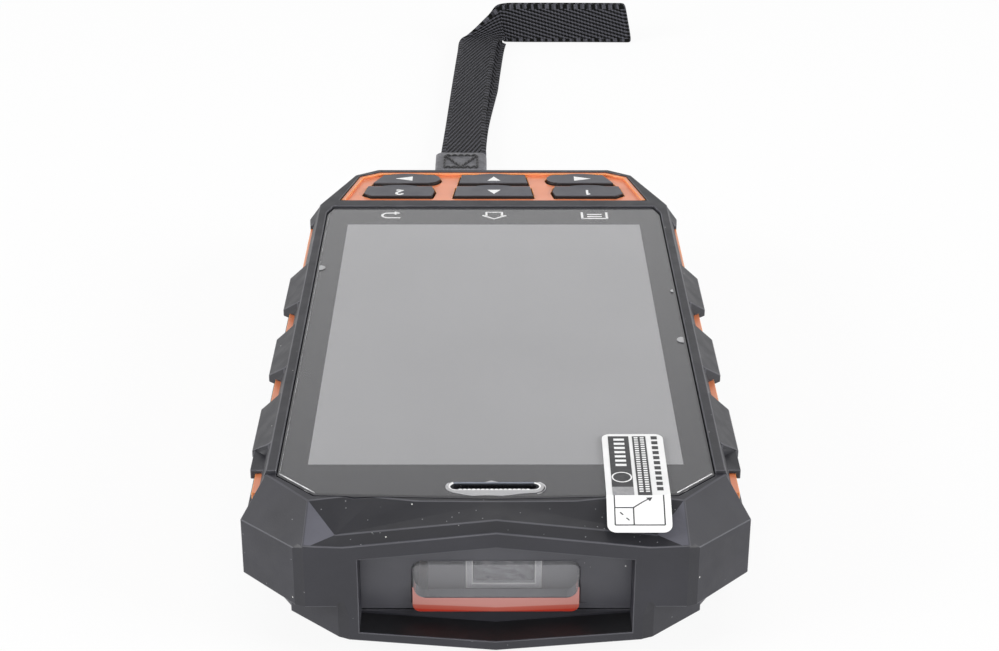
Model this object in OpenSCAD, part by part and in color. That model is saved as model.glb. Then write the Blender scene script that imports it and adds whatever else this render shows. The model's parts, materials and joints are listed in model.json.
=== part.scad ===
// Rugged handheld tag reader lying on its back. The picture faces +Z, the scanning head faces -Y,
// and the origin is under the middle of the case. All sizes are in millimetres.

/* [Screen] */
// Width of the lit picture
picture_w = 51.8; // [49:0.2:54]
// Length of the lit picture
picture_l = 86.4; // [82:0.2:90]
// Glass border along each side of the picture
border_side = 4; // [3.4:0.1:5]
// Glass border at the keypad end
border_far = 7.8; // [7:0.1:9]
// Glass border at the head end
border_near = 9.1; // [8.6:0.1:10.5]
// Thickness of the touch glass
glass_t = 1.1; // [0.8:0.1:1.4]
// Thickness of the display panel
display_t = 2.6; // [2.2:0.1:3]
// Thickness of the protective film
film_t = 0.15; // [0.1:0.05:0.3]

/* [Case] */
// Width of the rail beside the glass
rail_w = 2.1; // [1.7:0.1:3]
// Length of the bar between the glass and the keypad
bar_l = 2.9; // [2.5:0.1:4]
// Width of the rim beyond the keypad
rim_w = 0.7; // [0.6:0.1:1.4]
// Length of the head in front of the glass
head_l = 5.7; // [5.4:0.1:7]
// Height of the middle shell
mid_h = 6; // [5.5:0.1:7]
// Height of the front frame
frame_h = 3.5; // [3.2:0.1:4]
// Thickness of the case walls
wall = 1.8; // [1.5:0.1:2.2]
// Width of the middle shell's ledge outside the frame
ledge_w = 1.6; // [1.2:0.1:2.2]
// How far the side ribs stand out from the frame
rib_out = 2.7; // [2.3:0.1:3.4]
// Length of a side rib
rib_l = 15; // [12:0.5:17]
// Distance from one side rib to the next
rib_pitch = 23.8; // [20:0.2:25]

/* [Keys] */
// Length of the keys in the row next to the glass
near_key_l = 4.8; // [4.4:0.1:5.2]
// Length of the keys in the far row
far_key_l = 4.1; // [3.8:0.1:4.5]
// Gap between the two rows of keys
row_gap = 1.7; // [1.4:0.1:2]
// Travel of a key
key_travel = 0.4; // [0.2:0.1:0.5]
// Length of a side key
side_key_l = 12; // [8:0.5:12.5]

/* [Scanner] */
// Width of the scan opening
scan_w = 36.8; // [32:0.2:38]
// Width of the clear scan window
window_w = 22.7; // [18:0.1:26]
// Height of the clear scan window
window_h = 7.5; // [7:0.1:9]
// Depth of the scan opening in front of the panel
scan_deep = 4.8; // [4.4:0.1:5.2]

/* [Power] */
// Width of the battery
battery_w = 40; // [34:0.5:41]
// Length of the battery
battery_l = 64; // [56:0.5:66]
// Thickness of the battery
battery_t = 6.2; // [5:0.1:7]
// Width of the port door
door_w = 12; // [11:0.1:13]
// Height of the port door above its hinge
door_h = 6; // [5.8:0.1:6.6]

/* [Strap] */
// Width of the webbing
webbing_w = 10.3; // [9:0.1:11]
// Thickness of the webbing loop's two layers
webbing_t = 2.6; // [2:0.1:3]
// Diameter of the strap cord
cord_d = 1.3; // [1:0.1:1.4]

/* [Hidden] */
$fn = 48;

// Colours
black = "#2e2e31";
orange = "#e2692f";
key_grey = "#3c3c40";
board_green = "#1f5a3a";
steel = "#b9bcc0";

// Clearances
touch = 0.05;       // between fixed pieces that are pushed together
fit = 0.1;          // between fixed pieces that drop in
run = 0.3;          // between pieces that move past each other
bore_gap = 0.05;    // around a pin or a screw, on the radius
past = 1;           // how far a cut runs past the face that it opens
far_away = 200;     // larger than the case

// Heights, from the rear face up
cover_t = 1.4;
battery_gap = 0.3;
battery_z = cover_t + battery_gap;
bay_top = battery_z + battery_t + battery_gap;
bay_roof_t = 1;
board_z = bay_top + bay_roof_t;
board_t = 1;
can_h = 2.2;
can_gap = 0.6;
rear_h = board_z + board_t + can_h + can_gap;
seam_z = rear_h + mid_h;
body_t = seam_z + frame_h;
glass_drop = 0.4;
glass_top = body_t - glass_drop;
glass_z = glass_top - glass_t;
tape_t = 0.2;
glass_seat = glass_z - tape_t;
display_z = glass_z - display_t;
plate_t = 1;
plate_gap = 0.6;
shelf_top = display_z - plate_gap - plate_t;
shelf_t = 1.8;
shelf_z = shelf_top - shelf_t;

// Places along the case, from the head to the keypad end
keypad_margin = 2.8;
keypad_margin_far = 1.3;
keypad_l = keypad_margin + near_key_l + row_gap + far_key_l + keypad_margin_far;
far_draft = 0.7;
glass_l = border_near + picture_l + border_far;
body_l = head_l + glass_l + bar_l + keypad_l + rim_w + far_draft;
y_front = -body_l / 2;
glass_near = y_front + head_l;
picture_near = glass_near + border_near;
picture_far = picture_near + picture_l;
glass_far = picture_far + border_far;
keypad_near = glass_far + bar_l;
keypad_far = keypad_near + keypad_l;
frame_far = keypad_far + rim_w;
y_far = frame_far + far_draft;
head_side_l = 6.7;
head_back = glass_near + head_side_l;

// Half widths
glass_half = picture_w / 2 + border_side;
frame_half = glass_half + rail_w;
mid_half = frame_half + ledge_w;
rear_lip = 0.6;
rear_half = mid_half + rear_lip;
rib_half = frame_half + rib_out;
rail_lean = 0.55;
rail_foot = 0.6;
head_proud = 0.6;
head_half = rear_half + head_proud;

// Far part of the case: steps from the frame's side and the keypad's near edge to each corner
shoulder_back = 5.4;
shoulder_y = keypad_near - shoulder_back;
rib_start = 35.5;
rib_first = keypad_near - rib_start;
waist_y = rib_first + rib_l / 2;
waist_run = 1.5;
waist_in = 0.55;
taper_1 = [-4.4, 7.9];
taper_2 = [-6.1, 12.5];
far_in = 10.3;
far_half = frame_half - far_in;
side_face = mid_half - waist_in;

// Head: corners of its facets, on the right side
facet_top = glass_top - 0.1;
bumper_z = rear_h - 4.4;
ridge_back = 1.7;
corner_front = [head_half - 8.4, y_front, glass_top - 4.5];
corner_side = [head_half, y_front + 8.6, glass_top - 4.9];
rail_end = [glass_half + 1.6, head_back, facet_top];
glass_end = [glass_half - 4.75, glass_near - 0.4, facet_top];
slope_mid = [0, glass_near - 0.7, facet_top];
edge_mid = [0, y_front, glass_top - 2];
edge_kink = [glass_half - 9.5, y_front, glass_top - 4.2];
edge_end = [glass_half - 5.1, y_front, glass_top - 4];
ridge_mid = [0, y_front + ridge_back, glass_top - 1];
ridge_half = edge_kink[0] + 1;
ridge_fall = (edge_mid[2] - edge_kink[2]) / edge_kink[0];
ridge_end = [ridge_half, ridge_mid[1], ridge_mid[2] - ridge_fall * ridge_half];

// Chin under the head
chin_half = scan_w / 2 + 2.2;
chin_peak_z = 1.6;
chin_side_z = 3.4;
chin_back = y_front + 6;
chin_back_half = chin_half + 7.6;

// Cut corners of the glass, the keypad and the rear shell's front, across and along
glass_bow = 0.9;
glass_cut_near = [5.4, 6.2];
glass_cut_far = [1, 3];
keypad_in = 3.9;
keypad_cut = [6.9, 2.3];
keypad_end_in = 0.4;
bumper_cut = [3.6, 5.2];
bumper_run = 4.1;

// Points of an outline's right half, front to back, with the left half added
function both_sides(half) = concat(half,
    [for (i = [len(half) - 1 : -1 : 0]) if (half[i][0] > 0) [-half[i][0], half[i][1]]]);

// Crossing of the line through p along d with the line through q along e
function crossing(p, d, q, e) = p + d * cross(q - p, e) / cross(d, e);
function left_of(a, b) = [a[1] - b[1], b[0] - a[0]] / norm(b - a);
function inset(p, by) = [for (i = [0 : len(p) - 1])
    let (a = p[(i + len(p) - 1) % len(p)], b = p[i], c = p[(i + 1) % len(p)])
    crossing(a + by * left_of(a, b), b - a, b + by * left_of(b, c), c - b)];

// Far corners of a shell that stands out from the frame by a given amount
function far_corners(out) = let (end = out * far_draft / (ledge_w + rear_lip)) [
    [frame_half + taper_1[0] + out, keypad_near + taper_1[1]],
    [frame_half + taper_2[0] + out, keypad_near + taper_2[1]],
    [far_half, frame_far + end]];

glass_outline = both_sides([[0, glass_near], [glass_half - glass_cut_near[0], glass_near + glass_bow],
    [glass_half, glass_near + glass_cut_near[1]], [glass_half, glass_far - glass_cut_far[1]],
    [glass_half - glass_cut_far[0], glass_far]]);
frame_outline = both_sides([[frame_half + rail_foot, head_back], [frame_half + rail_foot, shoulder_y],
    [frame_half + taper_1[0], keypad_near + taper_1[1]],
    [frame_half + taper_2[0], keypad_near + taper_2[1]], [far_half, frame_far]]);
mid_outline = both_sides(concat([[mid_half, head_back], [mid_half, waist_y], [side_face, waist_y + waist_run],
    [side_face, shoulder_y]], far_corners(ledge_w)));
rear_outline = both_sides(concat([[chin_back_half, chin_back],
    [rear_half - bumper_cut[0], chin_back + bumper_cut[1]], [rear_half, head_back + bumper_run],
    [rear_half, shoulder_y]], far_corners(ledge_w + rear_lip)));
head_outline = both_sides([[corner_front[0], corner_front[1]], [corner_side[0], corner_side[1]],
    [rail_end[0], rail_end[1]]]);
chin_outline = both_sides([[chin_half, y_front], [chin_back_half, chin_back]]);
keypad_outline = both_sides([[frame_half - keypad_in, keypad_near],
    [frame_half - keypad_cut[0], keypad_far - keypad_cut[1]], [far_half - keypad_end_in, keypad_far]]);

module prism(outline, low, high) {
    translate([0, 0, low]) linear_extrude(high - low) polygon(outline);
}

module block(low, high) {
    translate(low) cube(high - low);
}

// A profile of (x, z) points run along Y, and one of (y, z) points run along X
module along_y(from, to) {
    translate([0, to, 0]) rotate([90, 0, 0]) linear_extrude(to - from) children();
}

module along_x(from, to) {
    translate([from, 0, 0]) rotate([90, 0, 90]) linear_extrude(to - from) children();
}

module both_ways() {
    children();
    mirror([1, 0, 0]) children();
}

// Everything on the far side of the plane through three points, seen from a point inside
module beyond(p, q, r, inside) {
    raw = cross(q - p, r - p);
    n = (raw * (inside - p) > 0 ? -1 : 1) * raw / norm(raw);
    translate(p) rotate([0, acos(n[2]), atan2(n[1], n[0])])
        translate([-far_away, -far_away, 0]) cube(2 * far_away);
}

module rounded(w, h, r) {
    square([w - 2 * r, h], center = true);
    square([w, h - 2 * r], center = true);
    for (x = [-1, 1], y = [-1, 1]) translate([x * (w / 2 - r), y * (h / 2 - r)]) circle(r);
}

module slot(w, h) {
    square([w - h, h], center = true);
    for (x = [-1, 1]) translate([x * (w - h) / 2, 0]) circle(d = h);
}

// Front frame

rib_edge_z = body_t - 3.2;
rib_slant = 2.4;
rib_root = 1;
rib_foot_z = seam_z - 0.8;
rib_top_z = body_t - 0.2;
rail_step = 0.3;
rail_top = [frame_half - rail_lean, body_t];
rail_edge = [frame_half + rail_foot, seam_z + rail_step];
toe_l = 3.7;
toe_h = 0.6;
toe_half = rib_half - 0.4;
shoulder_tip = [mid_half - 0.2, keypad_near - 2.4];
shoulder_top = [frame_half - 0.9, keypad_near - 1.4];
keypad_ledge = 0.6;
key_plate_t = 1.2;
key_plate_drop = 0.75;
key_plate_z = body_t - key_plate_drop - key_plate_t;
display_rim = 1.6;
display_rim_near = 2.9;
display_rim_far = 5.2;
display_half = picture_w / 2 + display_rim;
display_near = picture_near - display_rim_near;
display_far = picture_far + display_rim_far;

module display_opening(low) {
    block([-display_half - run, display_near - run, low],
        [display_half + run, display_far + run, body_t + past]);
}

module rib(middle) {
    intersection() {
        along_y(middle - rib_l / 2, middle + rib_l / 2)
            polygon([[frame_half - rib_root, seam_z], [mid_half, seam_z], [mid_half, rib_foot_z],
                [rib_half, rib_foot_z], [rib_half, rib_edge_z], [rail_top[0], rib_top_z],
                [frame_half - rib_root, rib_top_z]]);
        prism([[0, middle - rib_l / 2], [frame_half, middle - rib_l / 2],
            [rib_half, middle - rib_l / 2 + rib_slant], [rib_half, middle + rib_l / 2],
            [0, middle + rib_l / 2]], 0, body_t);
    }
}

// What the leaning wall of a side rail leaves free, along the whole frame
module rail_lean_cut() {
    out = past * (rail_edge - rail_top) / norm(rail_edge - rail_top);
    low = rail_edge + out;
    high = rail_top - out;
    along_y(head_back - past, y_far + past) polygon([low, high, [low[0], high[1]]]);
}

// Low flat end of the rib nearest the head
module rib_toe() {
    near = rib_first - 2 * rib_pitch - rib_l / 2;
    along_y(near - toe_l, near + rib_slant + toe_h)
        polygon([[frame_half - rib_root, seam_z], [mid_half, seam_z], [mid_half, rib_foot_z],
            [toe_half, rib_foot_z], [toe_half, seam_z + toe_h], [frame_half - rib_root, seam_z + toe_h]]);
}

// Bumper at the shoulder, which leans like a rib and hangs over the middle shell's side
module shoulder_bumper() {
    corner = [frame_half + taper_1[0], keypad_near + taper_1[1]];
    edge_z = seam_z + toe_h;
    tip = concat(shoulder_tip, edge_z);
    top = concat(shoulder_top, body_t);
    inside = [0, 0, seam_z];
    difference() {
        prism([[frame_half - rib_root, shoulder_y], [side_face, shoulder_y], shoulder_tip, corner,
            corner - [rib_root, 0]], rib_foot_z, body_t);
        prism(inset(mid_outline, -touch), rear_h, seam_z);
        beyond([side_face, shoulder_y, edge_z], tip, top, inside);
        beyond(tip, top, concat(corner, body_t), inside);
    }
}

module front_frame() color(black) difference() {
    union() {
        difference() {
            prism(frame_outline, seam_z, body_t);
            both_ways() rail_lean_cut();
        }
        both_ways() {
            for (i = [0 : 2]) rib(rib_first - i * rib_pitch);
            rib_toe();
            shoulder_bumper();
        }
    }
    prism(inset(glass_outline, -fit), glass_seat, body_t + past);
    display_opening(seam_z - past);
    prism(keypad_outline, key_plate_z, body_t + past);
    prism(inset(keypad_outline, keypad_ledge), seam_z - past, body_t + past);
}

// Middle shell

shelf_w = 8.5;
screw_r = 1.25;
screw_boss_r = 2.6;
near_screw = [frame_half - 6, head_back + 8.1];
far_screw = [frame_half - 6.6, keypad_near + 1.5];
side_key_gap = 1.6;
side_key_y = rib_first + rib_l / 2 + side_key_gap + side_key_l / 2;
side_key_z = rear_h + 0.7;
side_key_h = 4.4;
side_key_proud = 0.2;
side_flange = 0.7;
side_travel = 0.4;
switch_t = 1.7;
switch_l = 6;
switch_room = 1.5;
switch_x = side_face - wall - run - side_flange - side_travel - run - switch_t;
engine_half = 10.5;

module at_screws() {
    both_ways() for (p = [near_screw, far_screw]) translate(p) children();
}

module side_window(grow, from, to) {
    block([from, side_key_y - side_key_l / 2 - grow, side_key_z - grow],
        [to, side_key_y + side_key_l / 2 + grow, side_key_z + side_key_h + grow]);
}

module mid_shell() color(orange) difference() {
    union() {
        difference() {
            prism(mid_outline, rear_h, seam_z);
            prism(inset(mid_outline, wall), rear_h - past, seam_z + past);
        }
        difference() {
            prism(inset(mid_outline, wall / 2), shelf_z, shelf_top);
            prism(inset(mid_outline, wall + shelf_w), shelf_z - past, shelf_top + past);
        }
        at_screws() translate([0, 0, rear_h]) cylinder(r = screw_boss_r, h = shelf_z - rear_h + touch);
    }
    at_screws() cylinder(r = screw_r + bore_gap, h = shelf_top + past);
    display_opening(display_z - run);
    block([-chin_half, head_back - past, 0], [chin_half, head_back + wall + shelf_w + past, body_t]);
    both_ways() {
        side_window(run, side_face - wall - past, mid_half + past);
        block([switch_x, side_key_y - side_key_l / 2 - switch_room, shelf_z - past],
            [side_face - wall, side_key_y + side_key_l / 2 + switch_room, shelf_top + past]);
    }
}

// Rear shell

floor_t = wall;
bevel_in = 4;
bevel_up = 4;
bevel_step = 0.5;
band_out = 1;
band_h = 4;
band_top = rear_h - 0.2;
band_root = 0.5;
band_back = 10.6;
bay_wall = 1.2;
bay_gap = 0.4;
bay_back = 22.6;
bay_y = head_back + bay_back + battery_l / 2;
bay_half = battery_w / 2 + bay_gap;
bay_l = battery_l + 2 * bay_gap;
cover_margin = 5;
cover_screw_out = 2.6;
cover_screw = [bay_half + cover_screw_out, bay_l / 2 + cover_screw_out];
cover_screw_r = 1;
cover_boss_r = 2.2;
cover_boss_top = floor_t + 3;
cover_head_r = 1.6;
post_half = 22.5;
core_y = head_back + 14.5;
core_s = 6;
core_half = 25;
core_z = floor_t + 3.2;
contact_y = bay_y + bay_l / 2 - 3;
contact_half = 8;
contact_l = 3;
contact_room = 0.5;
camera_x = 18.5;
camera_y = head_back + 2.5;
camera_s = 7.8;
lens_r = 3.2;
speaker_x = -1;
speaker_y = keypad_near + 2.1;
slot_pitch = 2.2;
slot_l = 6;
slot_w = 1;
door_x = 10;
door_t = 1.4;
door_z = 5.2;
hinge_r = 0.6;
barrel_r = 1.1;
hinge_y = y_far - barrel_r;
hinge_room = 1;
pin_seat = 2;
pin_short = 0.2;
port_wall = 4.2;
port_side = 2.6;
plug_w = 9.4;
plug_h = 4;
plug_gap = 0.4;
bar_x = -12;
bar_r = 1;
bar_y = y_far - 2.4;
bar_z = 7;
eye_w = 7;
eye_h = 7;
eye_deep = 5.8;
eye_wall = 2;
bar_seat = 1.5;
chin_gap = 0.2;
backing_step = 1;

module at_cover_screws() {
    for (x = [-1, 1], y = [-1, 1])
        translate([x * cover_screw[0], bay_y + y * cover_screw[1]]) children();
}

module bay_block(grow, low, high) {
    block([-bay_half - grow, bay_y - bay_l / 2 - grow, low],
        [bay_half + grow, bay_y + bay_l / 2 + grow, high]);
}

module port_block() {
    block([door_x - door_w / 2 - port_side, y_far - port_wall, floor_t - touch],
        [door_x + door_w / 2 + port_side, y_far - wall / 2, rear_h]);
}

// A rod along the door's hinge line
module hinge_rod(r, l) {
    translate([door_x - l / 2, hinge_y, door_z]) rotate([0, 90, 0]) cylinder(r = r, h = l);
}

module port_recess() {
    half = door_w / 2 + run;
    low = door_z - barrel_r - hinge_room;
    block([door_x - half, y_far - door_t - run, low], [door_x + half, y_far + past, door_z + door_h + run]);
    block([door_x - half, hinge_y - barrel_r - run, low],
        [door_x + half, y_far + past, door_z + barrel_r + run]);
    block([door_x - plug_w / 2, y_far - port_wall - past, socket_z - plug_gap],
        [door_x + plug_w / 2, y_far, socket_z - plug_gap + plug_h]);
    hinge_rod(hinge_r + bore_gap, door_w + 2 * pin_seat);
}

module eye_block() {
    block([bar_x - eye_w / 2 - eye_wall, y_far - eye_deep - eye_wall, floor_t - touch],
        [bar_x + eye_w / 2 + eye_wall, y_far - wall / 2, bar_z + eye_h / 2 + eye_wall]);
}

// A rod across the eye that holds the strap's cord
module eye_rod(r, l) {
    translate([bar_x - l / 2, bar_y, bar_z]) rotate([0, 90, 0]) cylinder(r = r, h = l);
}

module eye_cut() {
    block([bar_x - eye_w / 2, y_far - eye_deep, bar_z - eye_h / 2],
        [bar_x + eye_w / 2, y_far + past, bar_z + eye_h / 2]);
    eye_rod(bar_r + bore_gap, eye_w + 2 * bar_seat);
}

// Bevels along the rear edge, every other one a little higher than its neighbours
module rear_bevels() {
    middle = [0, 0, rear_h];
    for (i = [1 : len(rear_outline) - 1]) {
        a = rear_outline[i - 1];
        b = rear_outline[i];
        in = bevel_in * left_of(a, b);
        up = bevel_up + bevel_step * (i % 2);
        beyond([a[0], a[1], up], [b[0], b[1], up], [a[0] + in[0], a[1] + in[1], 0], middle);
    }
}

// Low band along each side of the rear shell
module side_band() {
    low = band_top - band_h;
    along_y(head_back + bumper_run + band_root, keypad_near - band_back)
        polygon([[rear_half - band_root, band_top], [rear_half - band_root, low - band_root],
            [rear_half + band_out, low + band_out], [rear_half + band_out, band_top]]);
}

module rear_shell() color(black) difference() {
    union() {
        both_ways() side_band();
        difference() {
            prism(rear_outline, 0, rear_h);
            prism(inset(rear_outline, wall), floor_t, rear_h + past);
        }
        intersection() {
            union() {
                difference() {
                    bay_block(bay_wall, 0, board_z);
                    bay_block(0, -past, bay_top);
                }
                at_screws() cylinder(r = screw_boss_r, h = rear_h);
                at_cover_screws() cylinder(r = cover_boss_r, h = cover_boss_top);
                both_ways() block([post_half, core_y - core_s / 2, floor_t - touch],
                    [core_half, core_y + core_s / 2, core_z]);
                port_block();
                eye_block();
                bevel_backing();
            }
            prism(inset(rear_outline, wall / 2), 0, rear_h);
        }
    }
    rear_bevels();
    block([-far_away, -far_away, bumper_z], [far_away, head_back, rear_h + past]);
    block([-chin_half, -far_away, chin_side_z - chin_gap], [chin_half, chin_back + wall + past, rear_h]);
    at_screws() {
        cylinder(r = screw_r + bore_gap, h = rear_h + past);
        translate([0, 0, -past]) cylinder(r = screw_head_r + fit, h = past + screw_seat);
    }
    bay_block(0, -past, bay_top);
    bay_block(cover_margin + fit, -past, cover_t);
    at_cover_screws() cylinder(r = cover_screw_r + bore_gap, h = cover_boss_top + past);
    block([-contact_half, contact_y - contact_l / 2 - contact_room, bay_top - past],
        [contact_half, contact_y + contact_l / 2 + contact_room, board_z + past]);
    translate([camera_x, camera_y, -past]) cylinder(r = lens_r + fit, h = floor_t + 2 * past);
    for (i = [-2 : 2]) translate([speaker_x + i * slot_pitch, speaker_y, -past])
        linear_extrude(floor_t + 2 * past) rotate(90) slot(slot_l, slot_w);
    port_recess();
    eye_cut();
    case_seal_groove();
}

// Thickens the corner above the bevels, so that the wall keeps its thickness there
module bevel_backing() {
    difference() {
        prism(inset(rear_outline, wall / 2), floor_t - touch, bevel_up + bevel_step + wall);
        prism(inset(rear_outline, wall + bevel_in - backing_step), 0, rear_h);
        block([-chin_back_half, -far_away, 0], [chin_back_half, head_back, rear_h]);
    }
}

// Seal between the rear and middle shells

seal_w = 0.8;
seal_h = 0.5;

module seal_ring(from, to, low, high) {
    difference() {
        prism(inset(mid_outline, from), low, high);
        prism(inset(mid_outline, to), low - past, high + past);
        block([-far_away, -far_away, -past], [far_away, head_back + bumper_run + wall + past, body_t]);
    }
}

module case_seal_groove() {
    seal_ring(wall / 2 - seal_w / 2, wall / 2 + seal_w / 2, rear_h - seal_h, rear_h + past);
}

module case_seal() color("#6d6f74")
    seal_ring(wall / 2 - seal_w / 2 + touch, wall / 2 + seal_w / 2 - touch, rear_h - seal_h, rear_h);

// Case screws

screw_head_r = 2.1;
screw_seat = 3;
screw_head_h = 1.6;
screw_short = 0.4;
drive_r = 1.1;
drive_deep = 0.9;

module case_screws() color(steel) at_screws() difference() {
    union() {
        translate([0, 0, screw_seat - screw_head_h]) cylinder(r = screw_head_r, h = screw_head_h);
        translate([0, 0, screw_seat]) cylinder(r = screw_r, h = shelf_top - screw_short - screw_seat);
    }
    translate([0, 0, screw_seat - screw_head_h - past]) cylinder(r = drive_r, h = past + drive_deep, $fn = 6);
}

// Head cap

scan_low = rear_h - 8.5;
scan_high = glass_top - 6.2;
window_low = scan_low + 0.65;
scan_peak = 1.9;
scan_dip = 1.5;
cavity_top = glass_top - 5.2;
head_wall = wall + 0.6;
back_opening = 2;
panel_front = y_front + scan_deep;
panel_t = 1.5;
panel_side = 1.5;
panel_half = scan_w / 2 + panel_side;
earpiece_y = glass_near + 2.6;
earpiece_w = 11.7;
earpiece_h = 2.3;
speaker_size = [13.4, 3.6, 2.4];

// Front view of the scan opening: straight sides, and a shallow peak above and below
function scan_profile(half) = [[half, scan_low], [half, scan_high], [0, scan_high + scan_peak],
    [-half, scan_high], [-half, scan_low], [0, scan_low - scan_dip]];

// The same view, cut off flat below the window
function panel_profile(half, low) = [for (p = scan_profile(half)) [p[0], max(p[1], low)]];

module head_facets() {
    inside = [0, chin_back, bumper_z];
    both_ways() {
        intersection() {
            union() {
                intersection() {
                    beyond(slope_mid, glass_end, ridge_end, inside);
                    beyond(slope_mid, ridge_end, ridge_mid, inside);
                }
                beyond(ridge_mid, ridge_end, edge_mid, inside);
            }
            beyond(glass_end, ridge_end, edge_end, inside);
            beyond(ridge_end, edge_kink, edge_end, inside);
        }
        beyond(rail_end, glass_end, corner_front, inside);
        beyond([0, y_front, chin_peak_z], [chin_half, y_front, chin_side_z],
            [0, chin_back, chin_peak_z], inside);
    }
}

module head_cap() color(black) difference() {
    union() {
        prism(head_outline, bumper_z, facet_top);
        prism(chin_outline, 0, bumper_z + touch);
    }
    head_facets();
    block([-far_away, chin_back, -past], [far_away, far_away, bumper_z]);
    prism(inset(glass_outline, -fit), glass_seat, body_t + past);
    display_opening(display_z - run);
    along_y(y_front - past, panel_front) polygon(scan_profile(scan_w / 2));
    along_y(panel_front - touch, chin_back + past) polygon(panel_profile(panel_half + fit, window_low - fit));
    intersection() {
        prism(inset(head_outline, head_wall), bumper_z - past, cavity_top);
        block([-far_away, panel_front + panel_t, 0], [far_away, head_back + wall + past, body_t]);
    }
    block([-chin_half, head_back - wall - back_opening, bumper_z - past],
        [chin_half, head_back + past, cavity_top]);
    translate([0, earpiece_y, glass_seat - speaker_size[2]])
        block([-speaker_size[0] / 2 - fit, -speaker_size[1] / 2 - fit, 0],
            [speaker_size[0] / 2 + fit, speaker_size[1] / 2 + fit, speaker_size[2] + past]);
}

// Scan window and engine

window_proud = 0.7;
window_flange = 0.7;
window_r = 1.1;
window_side = 1;
window_up = 0.8;
window_back = panel_front + panel_t;
window_mid = window_low + window_h / 2;
gasket_h = 2.2;
gasket_r = 1.7;
gasket_side = 0.15;
nose_l = 1;
engine_x = 1.1;
nose_in = 1.9;
nose_wall = [1, 0.8];
nose_deep = 3;
nose_gap = 0.8;
engine_front = window_back + window_flange + nose_gap + nose_l;
engine_l = 13;
engine_z = floor_t + 2.8;
engine_h = 11.2;
nose_w = 10.5;
bracket_t = 0.8;
bracket_side = 1.5;
bracket_end = 0.5;
leg_r = 1.5;
leg_in = [0.5, 2.5];

// Front view of the clear window, grown by a margin
module window_shape(grow) {
    translate([0, window_mid]) rounded(window_w + 2 * grow, window_h + 2 * grow, window_r + grow);
}

module window_panel() color("#4a4a4d") difference() {
    along_y(panel_front, window_back)
        polygon(panel_profile(panel_half, window_low));
    along_y(panel_front - past, window_back + past) window_shape(fit);
}

// Front view of the gasket: a sill under the clear window that runs up into its lower corners
module gasket_shape() difference() {
    intersection() {
        window_shape(0);
        translate([-window_w, window_low]) square([2 * window_w, gasket_h + gasket_r]);
    }
    translate([0, window_low + gasket_h + window_h / 2])
        rounded(window_w - 2 * gasket_side, window_h, gasket_r);
}

module scan_window() color([0.75, 0.78, 0.8, 0.4]) {
    along_y(panel_front - window_proud, window_back + touch) difference() {
        window_shape(0);
        gasket_shape();
    }
    along_y(window_back + touch, window_back + window_flange) translate([0, window_mid + window_up / 2])
        rounded(window_w + 2 * window_side, window_h + window_up, window_r);
}

module window_gasket() color("#c8452f") {
    along_y(panel_front - window_proud, window_back) gasket_shape();
}

module scan_engine() color("#d9dadb") difference() {
    union() {
        block([engine_x - engine_half, engine_front, engine_z],
            [engine_x + engine_half, engine_front + engine_l, engine_z + engine_h]);
        block([engine_x - nose_w / 2, engine_front - nose_l, engine_z + nose_in],
            [engine_x + nose_w / 2, engine_front + touch, engine_z + engine_h - nose_in]);
    }
    hole_half = nose_w / 2 - nose_wall[0];
    hole_in = nose_in + nose_wall[1];
    block([engine_x - hole_half, engine_front - nose_l - past, engine_z + hole_in],
        [engine_x + hole_half, engine_front + nose_deep, engine_z + engine_h - hole_in]);
}

module engine_bracket() color(steel) {
    block([engine_x - engine_half - bracket_side, engine_front + bracket_end, engine_z - bracket_t],
        [engine_x + engine_half + bracket_side, engine_front + engine_l - bracket_end, engine_z]);
    for (x = [-1, 1], y = [leg_in[1], engine_l - leg_in[1]])
        translate([engine_x + x * (engine_half - leg_in[0]), engine_front + y, floor_t])
            cylinder(r = leg_r, h = engine_z - bracket_t - floor_t + touch);
}

// Screen

tab_w = 8.6;
tab_in = 6.4;
tab_far = picture_near + 8;
tab_t = 0.15;
tab_bend = glass_near - 0.4;
tab_tip = [y_front + 0.9, glass_top - 1.7];
film_in = 0.35;
film_slot = [1.6, 0.9];
tape_in = 0.4;
plate_side = 3;
plate_end = 6.1;
mesh_low = 0.2;
mesh_t = 0.6;

// A slot-shaped column at the earpiece
module earpiece_column(w, h, low, high) {
    translate([0, earpiece_y, low]) linear_extrude(high - low) slot(w, h);
}

module touch_glass() color("#75757a") difference() {
    prism(glass_outline, glass_z, glass_top);
    earpiece_column(earpiece_w, earpiece_h, glass_z - past, body_t + past);
}

module screen_film() color([0.8, 0.8, 0.82, 0.3]) difference() {
    prism(inset(glass_outline, film_in), glass_top, glass_top + film_t);
    earpiece_column(earpiece_w + film_slot[0], earpiece_h + film_slot[1], glass_z, body_t + past);
}

module film_pull_tab() color("#f0f0f0") {
    low = glass_top + film_t;
    top = low + tab_t;
    along_x(glass_half - tab_in - tab_w, glass_half - tab_in)
        polygon([[tab_far, low], [tab_far, top], [tab_bend, top], tab_tip + [0, tab_t], tab_tip,
            [tab_bend, low]]);
}

module screen_adhesive() color("#1c1c1d") difference() {
    prism(inset(glass_outline, tape_in), glass_seat, glass_z);
    display_opening(glass_seat - past);
    translate([0, earpiece_y, glass_seat - past]) linear_extrude(tape_t + 2 * past)
        square([speaker_size[0], speaker_size[1]], center = true);
}

module display_panel() color("#a9a9ab") {
    block([-display_half, display_near, display_z], [display_half, display_far, glass_z]);
}

module chassis_plate() color("#8c9094") {
    block([-frame_half + plate_side, head_back + wall + run, shelf_top],
        [frame_half - plate_side, keypad_near - plate_end, shelf_top + plate_t]);
}

module earpiece_mesh() color("#1a1a1b") {
    low = glass_z + mesh_low;
    earpiece_column(earpiece_w - 2 * touch, earpiece_h - 2 * touch, low, low + mesh_t);
}

module earpiece_speaker() color(steel) {
    translate([0, earpiece_y, glass_seat - speaker_size[2] / 2]) cube(speaker_size, center = true);
}

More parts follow.
